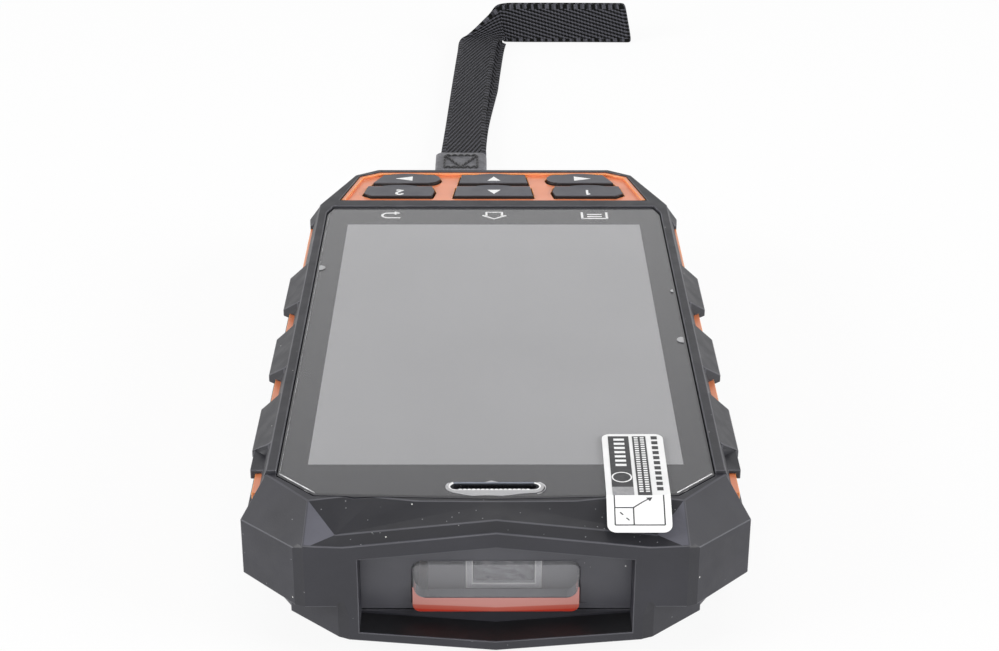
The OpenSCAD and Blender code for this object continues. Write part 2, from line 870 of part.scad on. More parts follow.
// Keypad

key_gap = 0.3;
key_top = body_t - 0.22;
flange_t = 0.7;
flange_out = 0.8;
flange_short = 0.6;
flange_z = key_plate_z - run - flange_t;
near_row_y = keypad_near + keypad_margin + near_key_l / 2;
far_row_y = keypad_near + keypad_margin + near_key_l + row_gap + far_key_l / 2;
arrow_key_in = 15.8;
number_key_in = 14.6;
arrow_key_x = frame_half - arrow_key_in;
number_key_x = frame_half - number_key_in;
up_key_w = 12.8;
down_key_w = 14.5;
key_taper = 0.45;
arrow_key_w = 12.4;
arrow_slant = 1.8;
number_key_w = 13;
number_nib = 0.5;
number_cut = [1.5, 1.2];
number_slant = 0.6;
ridge_w = 6.4;
ridge_l = 1.2;
ridge_h = 0.2;
lip_h = 0.5;
lip_w = 0.8;
key_board_t = 0.8;
key_board_near = keypad_near - 4.1;
key_board_far = keypad_far - 1.2;
mat_in = 1.2;
mat_gap = 0.2;
mat_top = flange_z - key_travel - mat_gap;

// Key tops seen from above, right of the middle, with a margin around them
module middle_key(w, l, grow) {
    near = w / 2;
    far = near - key_taper;
    polygon(inset([[-near, -l / 2], [near, -l / 2], [far, l / 2], [-far, l / 2]], -grow));
}

module arrow_key(grow) {
    r = far_key_l / 2;
    straight = arrow_key_w - r;
    translate([arrow_key_w / 2, 0]) mirror([1, 0]) {
        polygon(inset([[0, -r], [straight, -r], [straight, r], [arrow_slant, r]], -grow));
        translate([straight, 0]) circle(r + grow);
    }
}

module number_key(grow) {
    w = number_key_w / 2;
    l = near_key_l / 2;
    polygon(inset([[number_nib - w, -l], [w - number_cut[0], -l], [w, number_cut[1] - l],
        [w - number_slant, l], [number_nib - w, l], [-w, 0]], -grow));
}

// The finger ridge is a ball's cap that meets the key's top in a circle, with its middle beyond the far edge
ridge_reach = (ridge_w * ridge_w / 4 / ridge_l + ridge_l) / 2;
ridge_out = ridge_reach - ridge_l;
ridge_rise = ridge_h / (1 - pow(ridge_out / ridge_reach, 2));
ridge_r = (ridge_reach * ridge_reach / ridge_rise + ridge_rise) / 2;

// A key cap: the shape above its plate, a flange under the plate and a finger ridge at its far edge
module key_cap(l, flange_w, flange_x = 0) color(key_grey) {
    translate([0, 0, flange_z + touch]) linear_extrude(key_top - flange_z - touch) children();
    translate([flange_x, 0, flange_z + flange_t / 2])
        cube([flange_w, l - flange_short, flange_t], center = true);
    intersection() {
        translate([0, 0, key_top - ridge_h]) linear_extrude(2 * ridge_rise) children();
        translate([0, l / 2 + ridge_out, key_top + ridge_rise - ridge_r]) sphere(ridge_r);
    }
}

module at_up_key() { translate([0, far_row_y]) children(); }
module at_down_key() { translate([0, near_row_y]) children(); }
module at_right_key() { translate([arrow_key_x, far_row_y]) children(); }
module at_number_key() { translate([number_key_x, near_row_y]) children(); }

module key_up() {
    at_up_key() key_cap(far_key_l, up_key_w + 2 * flange_out) middle_key(up_key_w, far_key_l, 0);
}

module key_down() {
    at_down_key() key_cap(near_key_l, down_key_w + 2 * flange_out) middle_key(down_key_w, near_key_l, 0);
}

module key_right() {
    flange_w = arrow_key_w + flange_out - arrow_slant;
    at_right_key() key_cap(far_key_l, flange_w, -(flange_out + arrow_slant) / 2) arrow_key(0);
}

module key_one() { at_number_key() key_cap(near_key_l, number_key_w + 2 * flange_out) number_key(0); }
module key_left() { mirror([1, 0, 0]) key_right(); }
module key_two() { mirror([1, 0, 0]) key_one(); }

module key_holes() {
    linear_extrude(body_t + past) {
        at_up_key() middle_key(up_key_w, far_key_l, key_gap);
        at_down_key() middle_key(down_key_w, near_key_l, key_gap);
        at_right_key() arrow_key(key_gap);
        at_number_key() number_key(key_gap);
    }
}

module keypad_plate() color(orange) difference() {
    union() {
        prism(inset(keypad_outline, touch), key_plate_z, key_plate_z + key_plate_t);
        difference() {
            prism(inset(keypad_outline, touch), key_plate_z, key_plate_z + key_plate_t + lip_h);
            prism(inset(keypad_outline, lip_w), key_plate_z, body_t);
            block([-far_away, keypad_near - past, 0], [far_away, keypad_near + lip_w, body_t]);
        }
    }
    both_ways() key_holes();
}

module key_board() color(board_green) intersection() {
    prism(inset(mid_outline, wall + fit), shelf_top, shelf_top + key_board_t);
    block([-far_away, key_board_near, 0], [far_away, key_board_far, body_t]);
}

module key_mat() color("#55565a") {
    prism(inset(keypad_outline, mat_in), shelf_top + key_board_t, mat_top);
}

// Side keys

module side_key_right() color(orange) {
    side_window(0, side_face - wall - run - touch, side_face + side_key_proud);
    side_window(side_flange, side_face - wall - run - side_flange, side_face - wall - run);
}

module side_key_left() { mirror([1, 0, 0]) side_key_right(); }

module side_switch_right() color("#26262a") {
    block([switch_x, side_key_y - switch_l / 2, shelf_z],
        [switch_x + switch_t, side_key_y + switch_l / 2, shelf_top - fit]);
}

module side_switch_left() { mirror([1, 0, 0]) side_switch_right(); }

// Antenna and boards

coil_half = 17;
coil_t = 1.5;
board_half = 24;
board_neck_half = 19.5;
board_front = bay_y - bay_l / 2;
board_neck = bay_y + bay_l / 2 + 1;
board_far = y_far - port_wall - run;
board_top = board_z + board_t;
reader_place = [-21, 2];
reader_size = [18, 22, 1.2];
can_places = [[2, 2], [-20, 30], [6, 26]];
can_sizes = [[20, 18], [20, 22], [15, 20]];
camera_h = 4.8;
lens_in = 0.4;
loudspeaker_size = [14, 9, 3.4];
motor_x = 16.5;
motor_y = keypad_near + 2.5;
motor_r = 4;
motor_h = 3;

module antenna_core() color("#4d4b49") {
    block([-core_half, core_y - core_s / 2, core_z], [core_half, core_y + core_s / 2, core_z + core_s]);
}

module antenna_coil() color("#b5713a") difference() {
    block([-coil_half, core_y - core_s / 2 - coil_t, core_z - coil_t],
        [coil_half, core_y + core_s / 2 + coil_t, core_z + core_s + coil_t]);
    block([-far_away, core_y - core_s / 2 - touch, core_z - touch],
        [far_away, core_y + core_s / 2 + touch, core_z + core_s + touch]);
}

module main_board() color(board_green) {
    block([-board_half, board_front, board_z], [board_half, board_neck, board_top]);
    block([-board_neck_half, board_neck - touch, board_z],
        [board_neck_half, y_far - eye_deep - eye_wall - run, board_top]);
    block([bar_x + eye_w / 2 + eye_wall + run, board_neck, board_z], [board_neck_half, board_far, board_top]);
}

module reader_board() color("#235c8a") {
    translate([reader_place[0], board_front + reader_place[1], board_top]) cube(reader_size);
}

module shield_cans() color(steel) {
    for (i = [0 : len(can_places) - 1]) let (p = can_places[i], s = can_sizes[i])
        translate([p[0], board_front + p[1], board_top]) cube([s[0], s[1], can_h]);
}

module camera_module() color("#2a2a2c") {
    translate([camera_x, camera_y, floor_t + camera_h / 2])
        cube([camera_s, camera_s, camera_h], center = true);
}

module camera_lens() color("#15181c") {
    translate([camera_x, camera_y, lens_in]) cylinder(r = lens_r, h = floor_t - lens_in);
}

module loudspeaker() color("#3b3b3d") {
    translate([speaker_x, speaker_y, floor_t + loudspeaker_size[2] / 2])
        cube(loudspeaker_size, center = true);
}

module vibration_motor() color(steel) {
    translate([motor_x, motor_y, floor_t]) cylinder(r = motor_r, h = motor_h);
}

socket_w = 9;
socket_h = 3.2;
socket_l = 7.4;
socket_wall = 0.3;
socket_back = 1;
socket_z = board_z - socket_h;

module charging_socket() color(steel) difference() {
    half = socket_w / 2;
    block([door_x - half, board_far - socket_l, socket_z], [door_x + half, board_far, board_z]);
    block([door_x - half + socket_wall, board_far - socket_l + socket_back, socket_z + socket_wall],
        [door_x + half - socket_wall, board_far + past, board_z - socket_wall]);
}

// Port door, hinged along its lower edge

nail_w = 5;
nail_h = 1;
nail_deep = 0.5;

module port_door() color("#38383b") difference() {
    union() {
        block([door_x - door_w / 2, y_far - door_t, door_z], [door_x + door_w / 2, y_far, door_z + door_h]);
        hinge_rod(barrel_r, door_w);
    }
    hinge_rod(hinge_r + bore_gap, door_w + 2 * past);
    block([door_x - nail_w / 2, y_far - nail_deep, door_z + door_h - nail_h],
        [door_x + nail_w / 2, y_far + past, door_z + door_h + past]);
}

module port_door_pin() color(steel) hinge_rod(hinge_r, door_w + 2 * (pin_seat - pin_short));

// Battery

seal_in = 2.2;
contact_pitch = 4;
contact_w = 1.6;
groove_pitch = 1.6;
groove_w = 0.8;
groove_deep = 0.4;
groove_half = 12;
groove_in = 30;
groove_y = bay_y - groove_in;
cover_head_h = 0.7;
cover_head_in = 0.1;
cover_seat = cover_head_in + cover_head_h;
cover_screw_short = 0.4;
drive_w = 0.5;

module battery() color("#7d7f83") {
    block([-battery_w / 2, bay_y - battery_l / 2, battery_z],
        [battery_w / 2, bay_y + battery_l / 2, battery_z + battery_t]);
}

module battery_contacts() color("#c9a44c") {
    for (i = [-1.5 : 1.5]) let (x = i * contact_pitch)
        block([x - contact_w / 2, contact_y - contact_l / 2, battery_z + battery_t],
            [x + contact_w / 2, contact_y + contact_l / 2, board_z]);
}

module battery_cover() color(black) difference() {
    bay_block(cover_margin, 0, cover_t);
    at_cover_screws() {
        translate([0, 0, -past]) cylinder(r = cover_screw_r + bore_gap, h = cover_t + 2 * past);
        translate([0, 0, -past]) cylinder(r = cover_head_r + fit, h = past + cover_seat);
    }
    for (i = [-3 : 3]) let (y = groove_y + i * groove_pitch)
        block([-groove_half, y - groove_w / 2, -past], [groove_half, y + groove_w / 2, groove_deep]);
}

module battery_seal() color("#6d6f74") difference() {
    bay_block(-bay_gap, cover_t, battery_z);
    bay_block(-seal_in, 0, battery_z + past);
}

module battery_cover_screws() color(steel) at_cover_screws() difference() {
    union() {
        translate([0, 0, cover_head_in]) cylinder(r = cover_head_r, h = cover_head_h);
        translate([0, 0, cover_seat])
            cylinder(r = cover_screw_r, h = cover_boss_top - cover_screw_short - cover_seat);
    }
    translate([-cover_head_r, -drive_w / 2, -past]) cube([2 * cover_head_r, drive_w, past + cover_seat / 2]);
}

// Strap

patch_w = 11.3;
patch_l = 11.2;
patch_t = 3.2;
patch_near = 114.4;
patch_mid = -6.9;

module lanyard_bar() color(steel) {
    eye_rod(bar_r, eye_w + 2 * (bar_seat - fit));
}

// Route of the cord: out of the patch, round behind the bar and back into the patch
cord_route = [[-8.6, 114.3, 1.4], [-8.7, 110, 1.3], [-9.6, 104, 1], [-10.9, 96, 0.9], [-12.2, 88, 0.9],
    [-13, 80, 1], [-13.2, 74, 1.5], [-13, 69, 2.6], [-12.7, 65, 3.8], [-12.4, 62.4, 4.4], [-12.2, 60.6, 4.9],
    [-12, 59.4, 6], [-12, 59, 7.2], [-11.9, 59.4, 8.4], [-11.7, 60.7, 9.5], [-11.4, 62.6, 9.7],
    [-11, 65, 9.2], [-10.4, 69, 7.4], [-9.7, 74, 4.8], [-8.9, 80, 2.6], [-8, 87, 1.2], [-7, 95, 0.9],
    [-5.9, 103, 0.9], [-5.3, 109, 1.2], [-5.2, 114.3, 1.4]];
cord_sides = 8;

function unit(v) = v / norm(v);
function tangent(p, i) = unit(p[min(i + 1, len(p) - 1)] - p[max(i - 1, 0)]);
function tube_ring(p, i, r, sides) =
    let (t = tangent(p, i), u = unit(cross(t, [1, 0.02, 0])), v = cross(t, u))
    [for (k = [0 : sides - 1]) p[i] + r * (cos(360 * k / sides) * u + sin(360 * k / sides) * v)];

// Closed skin over rings that all have the same number of points
module skin(rings) {
    n = len(rings[0]);
    m = len(rings);
    points = [for (r = rings) each r];
    sides = [for (j = [0 : m - 2], k = [0 : n - 1])
        let (a = j * n + k, b = j * n + (k + 1) % n) each [[a, b, a + n], [b, b + n, a + n]]];
    near_end = [for (k = [1 : n - 2]) [0, k + 1, k]];
    far_end = [for (k = [1 : n - 2]) [(m - 1) * n, (m - 1) * n + k, (m - 1) * n + k + 1]];
    polyhedron(points, concat(sides, near_end, far_end));
}

module strap_cord() color("#1b1b1d")
    skin([for (i = [0 : len(cord_route) - 1]) tube_ring(cord_route, i, cord_d / 2, cord_sides)]);

module strap_patch() color("#2a2a2c") translate([patch_mid, patch_near + patch_l / 2, 0])
    linear_extrude(patch_t) rounded(patch_w, patch_l, 1);

// Middle line of the webbing, and the way that its width points: flat at first, then on edge
strap_route = [[-6.4, 125.8], [-6.3, 134], [-5.4, 165], [-4.3, 190], [-3.4, 207], [-2.6, 212.5],
    [-0.4, 216.2], [3.2, 217.6], [10, 217.9], [20, 217.9], [30, 217.8], [37.4, 217.7]];
strap_tilt = [0, 0, 0, 0, 0, 20, 55, 90, 90, 90, 90, 90];

// Four corners of the band at a point, with its lowest corner on the table
function band_ring(i) = let (t = tangent(strap_route, i), flat = cos(strap_tilt[i]), up = sin(strap_tilt[i]),
    across = [t[1] * flat, -t[0] * flat, -up], normal = [t[1] * up, -t[0] * up, flat],
    middle = [strap_route[i][0], strap_route[i][1], (webbing_w * up + webbing_t * flat) / 2])
    [for (c = [[-1, -1], [1, -1], [1, 1], [-1, 1]])
        middle + c[0] * across * webbing_w / 2 + c[1] * normal * webbing_t / 2];

module strap_webbing() color("#242427") skin([for (i = [0 : len(strap_route) - 1]) band_ring(i)]);

front_frame();
mid_shell();
rear_shell();
head_cap();
keypad_plate();
case_seal();
case_screws();
touch_glass();
screen_film();
film_pull_tab();
screen_adhesive();
display_panel();
chassis_plate();
earpiece_mesh();
earpiece_speaker();
key_left();
key_up();
key_right();
key_one();
key_down();
key_two();
key_mat();
key_board();
side_key_left();
side_key_right();
side_switch_left();
side_switch_right();
window_panel();
scan_window();
window_gasket();
scan_engine();
engine_bracket();
antenna_core();
antenna_coil();
reader_board();
main_board();
shield_cans();
camera_module();
camera_lens();
loudspeaker();
vibration_motor();
charging_socket();
port_door();
port_door_pin();
battery();
battery_contacts();
battery_cover();
battery_seal();
battery_cover_screws();
lanyard_bar();
strap_cord();
strap_patch();
strap_webbing();
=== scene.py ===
import json
import math

import bmesh
import bpy
from mathutils import Matrix, Vector
from mathutils.bvhtree import BVHTree


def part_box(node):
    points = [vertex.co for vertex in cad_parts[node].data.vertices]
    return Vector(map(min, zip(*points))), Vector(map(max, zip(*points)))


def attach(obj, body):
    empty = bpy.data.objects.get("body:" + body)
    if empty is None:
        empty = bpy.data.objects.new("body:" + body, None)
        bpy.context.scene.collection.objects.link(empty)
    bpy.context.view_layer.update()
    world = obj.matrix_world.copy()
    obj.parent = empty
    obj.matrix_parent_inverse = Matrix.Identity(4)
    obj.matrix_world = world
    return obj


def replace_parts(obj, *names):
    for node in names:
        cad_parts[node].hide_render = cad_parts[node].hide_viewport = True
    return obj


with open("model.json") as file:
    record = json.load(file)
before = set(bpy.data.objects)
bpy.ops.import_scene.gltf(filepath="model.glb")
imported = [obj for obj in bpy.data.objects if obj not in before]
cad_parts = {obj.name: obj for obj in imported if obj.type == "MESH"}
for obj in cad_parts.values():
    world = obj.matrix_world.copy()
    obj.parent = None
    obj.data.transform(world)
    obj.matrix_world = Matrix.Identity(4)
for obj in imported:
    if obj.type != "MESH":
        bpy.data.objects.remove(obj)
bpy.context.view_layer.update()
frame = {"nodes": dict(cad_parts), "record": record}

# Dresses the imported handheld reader. Sizes are in millimetres and become metres where a mesh is made.
MM = 0.001
NODES = frame["nodes"]
BODY_OF = {node: body for body, members in frame["record"]["behaviour"]["bodies"].items() for node in members}
SLOT_OF = {part["node"]: part["material_slot"] for part in frame["record"]["subparts"]}
CASE = "case"

# Camera, fitted to the picture's corners in the photo
IMAGE_W = 999
FOCAL_PIXELS = 1958.1
SENSOR_W = 36.0
CAMERA_PLACE = Vector((-1.31, -284.76, 155.37))
CAMERA_PITCH = math.radians(25.4385)
CAMERA_YAW = math.radians(0.4264)
CAMERA_ROLL = math.radians(0.1921)

# Strap: the cord's route, as in the part's source, and the two edges of the webbing's upper layer
CORD_D = 1.3
CORD_ROUTE = [
    (-8.6, 114.3, 1.4), (-8.7, 110, 1.3), (-9.6, 104, 1), (-10.9, 96, 0.9), (-12.2, 88, 0.9),
    (-13, 80, 1), (-13.2, 74, 1.5), (-13, 69, 2.6), (-12.7, 65, 3.8), (-12.4, 62.4, 4.4),
    (-12.2, 60.6, 4.9), (-12, 59.4, 6), (-12, 59, 7.2), (-11.9, 59.4, 8.4), (-11.7, 60.7, 9.5),
    (-11.4, 62.6, 9.7), (-11, 65, 9.2), (-10.4, 69, 7.4), (-9.7, 74, 4.8), (-8.9, 80, 2.6),
    (-8, 87, 1.2), (-7, 95, 0.9), (-5.9, 103, 0.9), (-5.3, 109, 1.2), (-5.2, 114.3, 1.4)]
STRAP_LEFT = [
    (-11.5, 125.8, 1.3), (-10.7, 147, 1.3), (-9.8, 174, 1.3), (-8.8, 201, 1.3), (-8.3, 211, 1.4),
    (-5.8, 213.4, 3.4), (0, 216.8, 8.6), (2.8, 217.7, 10.1), (10, 217.9, 10.3), (22, 217.9, 10.3),
    (34, 217.7, 10.3)]
STRAP_RIGHT = [
    (-1.3, 125.8, 1.3), (-1.5, 147, 1.3), (-0.4, 174, 1.3), (1, 201, 1.3), (1.7, 211, 1.2),
    (2.3, 214.5, 0.9), (3, 217, 0.5), (3.8, 217.8, 0.1), (11, 217.9, 0), (23, 217.9, 0),
    (36, 217.7, 0)]
WEBBING_W = 10.3
WEBBING_T = 2.6
LAYER_T = 1.15


def low(node):
    """Lowest corner of a CAD node, in millimetres."""
    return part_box(node)[0] / MM


def high(node):
    """Highest corner of a CAD node, in millimetres."""
    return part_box(node)[1] / MM


def sign(value):
    return -1 if value < 0 else 1


# Meshes

def new_object(name, mesh, body, slot, *looks):
    """Links a mesh as a piece that rides on a body and wears the named looks."""
    piece = bpy.data.objects.new(name, mesh)
    bpy.context.scene.collection.objects.link(piece)
    for look in looks:
        mesh.materials.append(LOOKS[look])
    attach(piece, body)
    return piece


def mesh_of(name, points, faces, smooth=True):
    """A mesh from points in millimetres, with its faces turned outwards."""
    mesh = bpy.data.meshes.new(name)
    mesh.from_pydata([Vector(p) * MM for p in points], [], faces)
    shape = bmesh.new()
    shape.from_mesh(mesh)
    bmesh.ops.recalc_face_normals(shape, faces=shape.faces)
    shape.to_mesh(mesh)
    shape.free()
    mesh.polygons.foreach_set("use_smooth", [smooth] * len(mesh.polygons))
    return mesh


def add_skin(name, skin, slot, look, smooth=True):
    """A piece on the case from a skin's points and faces."""
    return new_object(name, mesh_of(name, *skin, smooth), CASE, slot, look)


def loft(rings, closed=True):
    """Points and faces of a skin over rings of equal length, with caps on its ends."""
    count = len(rings[0])
    points = [p for ring in rings for p in ring]
    faces = []
    for j in range(len(rings) - 1):
        for k in range(count):
            a, b = j * count + k, j * count + (k + 1) % count
            faces.append((a, b, b + count, a + count))
    if closed:
        faces.append(tuple(range(count)))
        faces.append(tuple(range(len(points) - count, len(points))))
    return points, faces


def join_lofts(parts):
    """Points and faces of several skins as one."""
    points, faces = [], []
    for rings in parts:
        more_points, more_faces = loft(rings)
        faces += [tuple(i + len(points) for i in face) for face in more_faces]
        points += more_points
    return points, faces


def smooth_line(points, steps):
    """Points on a smooth curve through the given ones, a number of steps from each to the next."""
    points = [Vector(p) for p in points]
    last = len(points) - 1
    line = []
    for i in range(last):
        a, b, c, d = (points[min(max(i + k, 0), last)] for k in (-1, 0, 1, 2))
        for step in range(steps):
            t = step / steps
            line.append(0.5 * (2 * b + (c - a) * t + (2 * a - 5 * b + 4 * c - d) * t ** 2
                               + (3 * b - a - 3 * c + d) * t ** 3))
    return line + [points[last]]


def line_length(points):
    return sum((b - a).length for a, b in zip(points, points[1:]))


def directions(points):
    """The direction of a line at each of its points."""
    last = len(points) - 1
    return [(points[min(i + 1, last)] - points[max(i - 1, 0)]).normalized() for i in range(last + 1)]


def tube(points, radius, sides, plies=0, lay=1.0, depth=0.0):
    """Rings of a tube along a line. Plies wind round it as ridges, one turn for each lay of length."""
    rings = []
    length = 0.0
    side = None
    for i, along in enumerate(directions(points)):
        side = along.orthogonal() if side is None else side - along * side.dot(along)
        side.normalize()
        up = along.cross(side)
        length += (points[i] - points[i - 1]).length if i else 0.0
        ring = []
        for k in range(sides):
            angle = 2 * math.pi * k / sides
            ridge = 1 + depth * math.cos(plies * (angle - 2 * math.pi * length / lay))
            ring.append(points[i] + radius * ridge * (math.cos(angle) * side + math.sin(angle) * up))
        rings.append(ring)
    return rings


def stroke(points, width):
    """The two sides of a line of even width through points on a plane."""
    points = [Vector(p) for p in points]
    sides = [Vector((-along.y, along.x)) * width / 2 for along in directions(points)]
    return [p + s for p, s in zip(points, sides)], [p - s for p, s in zip(points, sides)]


def arc(centre, radius, start, end, steps=10):
    """Points on an arc, with its angles in degrees."""
    turns = [math.radians(start + (end - start) * i / steps) for i in range(steps + 1)]
    return [(centre[0] + radius * math.cos(t), centre[1] + radius * math.sin(t)) for t in turns]


def rounded_outline(width, length, radius):
    """Points round a rectangle with round corners, about its middle."""
    x, y = width / 2 - radius, length / 2 - radius
    points = []
    for i, centre in enumerate([(x, y), (-x, y), (-x, -y), (x, -y)]):
        points += arc(centre, radius, 90 * i, 90 * i + 90, 5)
    return points


def add_print(name, strips, place, body, slot, look, columns=1, thickness=0.02):
    """Thin closed prints: each strip lies between two lines, and place puts its points on a surface."""
    width = columns + 1
    points, faces = [], []
    for left, right in strips:
        rows = len(left)
        base = len(points)
        for lift in (0, thickness):
            for a, b in zip(left, right):
                flat = [a.lerp(b, j / columns) for j in range(width)]
                points += [place(*p) + Vector((0, 0, lift)) for p in flat]

        def corner(i, j, top):
            return base + (top * rows + i) * width + j

        for i in range(rows - 1):
            for j in range(columns):
                square = [(i, j), (i, j + 1), (i + 1, j + 1), (i + 1, j)]
                faces.append(tuple(corner(*c, 1) for c in square))
                faces.append(tuple(corner(*c, 0) for c in reversed(square)))
            for j in (0, columns):
                faces.append((corner(i, j, 0), corner(i + 1, j, 0), corner(i + 1, j, 1), corner(i, j, 1)))
        for i in (0, rows - 1):
            for j in range(columns):
                faces.append((corner(i, j, 0), corner(i, j + 1, 0), corner(i, j + 1, 1), corner(i, j, 1)))
    return new_object(name, mesh_of(name, points, faces, False), body, slot, look)


# Looks

def paint(code):
    """A colour in linear light from a hexadecimal code."""
    parts = [int(code[i:i + 2], 16) / 255 for i in (1, 3, 5)]
    return [c / 12.92 if c <= 0.04045 else ((c + 0.055) / 1.055) ** 2.4 for c in parts] + [1.0]


def add_node(tree, kind, inputs=None, **settings):
    """A shader node whose inputs are linked to sockets or set to values."""
    made = tree.nodes.new(kind)
    for key, value in settings.items():
        setattr(made, key, value)
    for socket, value in (inputs or {}).items():
        if isinstance(value, bpy.types.NodeSocket):
            tree.links.new(value, made.inputs[socket])
        else:
            made.inputs[socket].default_value = value
    return made


class Look:
    """A Principled material that is built up from procedural textures in the object's own space."""

    def __init__(self, name, **sockets):
        self.material = bpy.data.materials.new(name)
        self.material.use_nodes = True
        self.tree = self.material.node_tree
        self.shader = self.tree.nodes["Principled BSDF"]
        for socket, value in sockets.items():
            self.shader.inputs[socket.replace("_", " ")].default_value = value
        coordinates = self.node("ShaderNodeTexCoord").outputs
        self.place = coordinates["Object"]
        self.uv = coordinates["UV"]

    def node(self, kind, inputs=None, **settings):
        return add_node(self.tree, kind, inputs, **settings)

    def math(self, operation, *values):
        return self.node("ShaderNodeMath", dict(enumerate(values)), operation=operation).outputs[0]

    def noise(self, size, detail, stretch=(1, 1, 1)):
        """Noise whose patches are about size millimetres across."""
        place = self.node("ShaderNodeMapping", {"Vector": self.place, "Scale": stretch}).outputs["Vector"]
        inputs = {"Vector": place, "Scale": 1 / (size * MM), "Detail": detail}
        return self.node("ShaderNodeTexNoise", inputs).outputs["Fac"]

    def ramp(self, factor, *stops):
        """Colours, or grey levels, spread over a factor."""
        made = self.node("ShaderNodeValToRGB", {"Fac": factor})
        for i, (position, colour) in enumerate(stops):
            stop = made.color_ramp.elements[i] if i < 2 else made.color_ramp.elements.new(position)
            stop.position = position
            stop.color = colour if isinstance(colour, list) else [colour, colour, colour, 1]
        return made.outputs["Color"]

    def blend(self, factor, first, second, ends=(0.3, 0.7)):
        """Two colours spread over a factor."""
        return self.ramp(factor, (ends[0], paint(first)), (ends[1], paint(second)))

    def gloss(self, size, detail, least, most, start=0.3):
        """Roughness that changes in patches of about size millimetres."""
        return self.ramp(self.noise(size, detail), (start, least), (0.7, most))

    def mix(self, factor, first, second):
        """One colour over another. The numbers are the places of the node's colour sockets."""
        return self.node("ShaderNodeMix", {0: factor, 6: first, 7: second}, data_type="RGBA").outputs[2]

    def specks(self, spacing, radius, share):
        """Mask of small round specks: their spacing and radius, and the share of places that have one."""
        made = self.node("ShaderNodeTexVoronoi", {"Vector": self.place, "Scale": 1 / (spacing * MM)})
        small = self.math("LESS_THAN", made.outputs["Distance"], radius / spacing)
        level = self.node("ShaderNodeSeparateColor", {"Color": made.outputs["Color"]}).outputs[0]
        return self.math("MULTIPLY", small, self.math("GREATER_THAN", level, 1 - share))

    def stripes(self, along, across=0):
        """Waves over the UV map, with a period in millimetres along it and, if asked, across it."""
        turn = 2 * math.pi / MM
        direction = (turn / along, turn / across if across else 0, 0)
        phase = self.node("ShaderNodeVectorMath", {0: self.uv, 1: direction}, operation="DOT_PRODUCT")
        return self.math("SINE", phase.outputs["Value"])

    def link(self, socket, value):
        self.tree.links.new(value, self.shader.inputs[socket])

    def finish(self, tint, gloss, height=None, depth=0.0):
        """The material with its colour, its roughness and, if given, bumps up to depth millimetres high."""
        self.link("Base Color", tint)
        self.link("Roughness", gloss)
        if height is not None:
            bump = self.node("ShaderNodeBump", {"Height": height, "Distance": depth * MM})
            self.link("Normal", bump.outputs["Normal"])
        return self.material


def moulded(name, colour, worn, roughness, grain=0.35, depth=0.012, dust=0.0, coat=(0.0, 0.03)):
    """Moulded plastic: a mottled colour, a fine textured skin and, if asked, dust and a coat of gloss."""
    look = Look(name, Coat_Weight=coat[0], Coat_Roughness=coat[1])
    tint = look.blend(look.noise(9, 4), colour, worn, (0.3, 0.75))
    if dust:
        tint = look.mix(look.specks(1.6, 0.11, dust), tint, paint("#c9c9c6"))
        tint = look.mix(look.specks(0.8, 0.08, dust), tint, paint("#77777a"))
    gloss = look.gloss(3, 3, roughness - 0.05, roughness + 0.07)
    return look.finish(tint, gloss, look.noise(grain, 2), depth)


def metal(name, colour, shade, roughness, stretch=(1, 1, 1)):
    """Bare metal with fine lines drawn along it and small changes of gloss."""
    look = Look(name, Metallic=1.0)
    lines = look.noise(0.5, 4, stretch)
    gloss = look.gloss(1.5, 3, roughness - 0.06, roughness + 0.08)
    return look.finish(look.blend(lines, shade, colour), gloss, lines, 0.004)


def clear(name, colour, alpha, roughness, coat=(0.0, 0.03)):
    """Clear plastic or glass that shows what lies behind it, with a few smudges."""
    look = Look(name, Alpha=alpha, Base_Color=paint(colour), Coat_Weight=coat[0], Coat_Roughness=coat[1])
    look.link("Roughness", look.gloss(9, 3, roughness, roughness + 0.06, 0.35))
    return look.material


def ink(name, shade, colour):
    """Printed ink, slightly uneven."""
    look = Look(name)
    return look.finish(look.blend(look.noise(0.6, 3), shade, colour), look.gloss(1.0, 2, 0.42, 0.55))


def circuit_board():
    """Circuit board: solder mask with rows of paler tracks."""
    look = Look("circuit_board", Coat_Weight=0.4, Coat_Roughness=0.2)
    wires = look.noise(1.2, 0, (1, 6, 1))
    tint = look.blend(wires, "#17452e", "#2f6b4a", (0.52, 0.56))
    return look.finish(tint, look.gloss(2, 2, 0.32, 0.45), wires, 0.01)


def glass_border():
    """Dark print seen through polished glass under the film."""
    look = Look("glass_border", Coat_Weight=0.4, Coat_Roughness=0.06)
    tint = look.blend(look.noise(20, 3), "#242428", "#28282c")
    tint = look.mix(look.specks(3.4, 0.07, 0.05), tint, paint("#a0a0a4"))
    return look.finish(tint, look.gloss(14, 2, 0.14, 0.18, 0.35))


def picture_glass():
    """Unlit display behind the glass: even grey with faint clouds and a few dull marks."""
    look = Look("picture_glass", Coat_Weight=0.4, Coat_Roughness=0.06)
    tint = look.blend(look.noise(26, 2), "#8f8f91", "#939395", (0.35, 0.68))
    marks = look.math("MULTIPLY", look.specks(9, 0.5, 0.05), 0.12)
    tint = look.mix(marks, tint, paint("#5f6064"))
    return look.finish(tint, look.gloss(14, 2, 0.2, 0.24, 0.35))


def film_edge_highlight():
    """Cut edge of the film: a painted highlight, a bright line broken where it lies close to the glass."""
    look = Look("film_edge_highlight")
    tint = look.blend(look.noise(2, 2), "#c8c8cc", "#f4f4f4")
    look.link("Alpha", look.ramp(look.noise(6, 3), (0.42, 0.3), (0.56, 1.0)))
    return look.finish(tint, look.gloss(1, 2, 0.2, 0.35))


GASKET_DIP = 0.045      # how far the sill's bands rise for each unit of width
GASKET_FOOT = 4.6       # height where the bands start
GASKET_BANDS = 2.8      # height that the bands cover


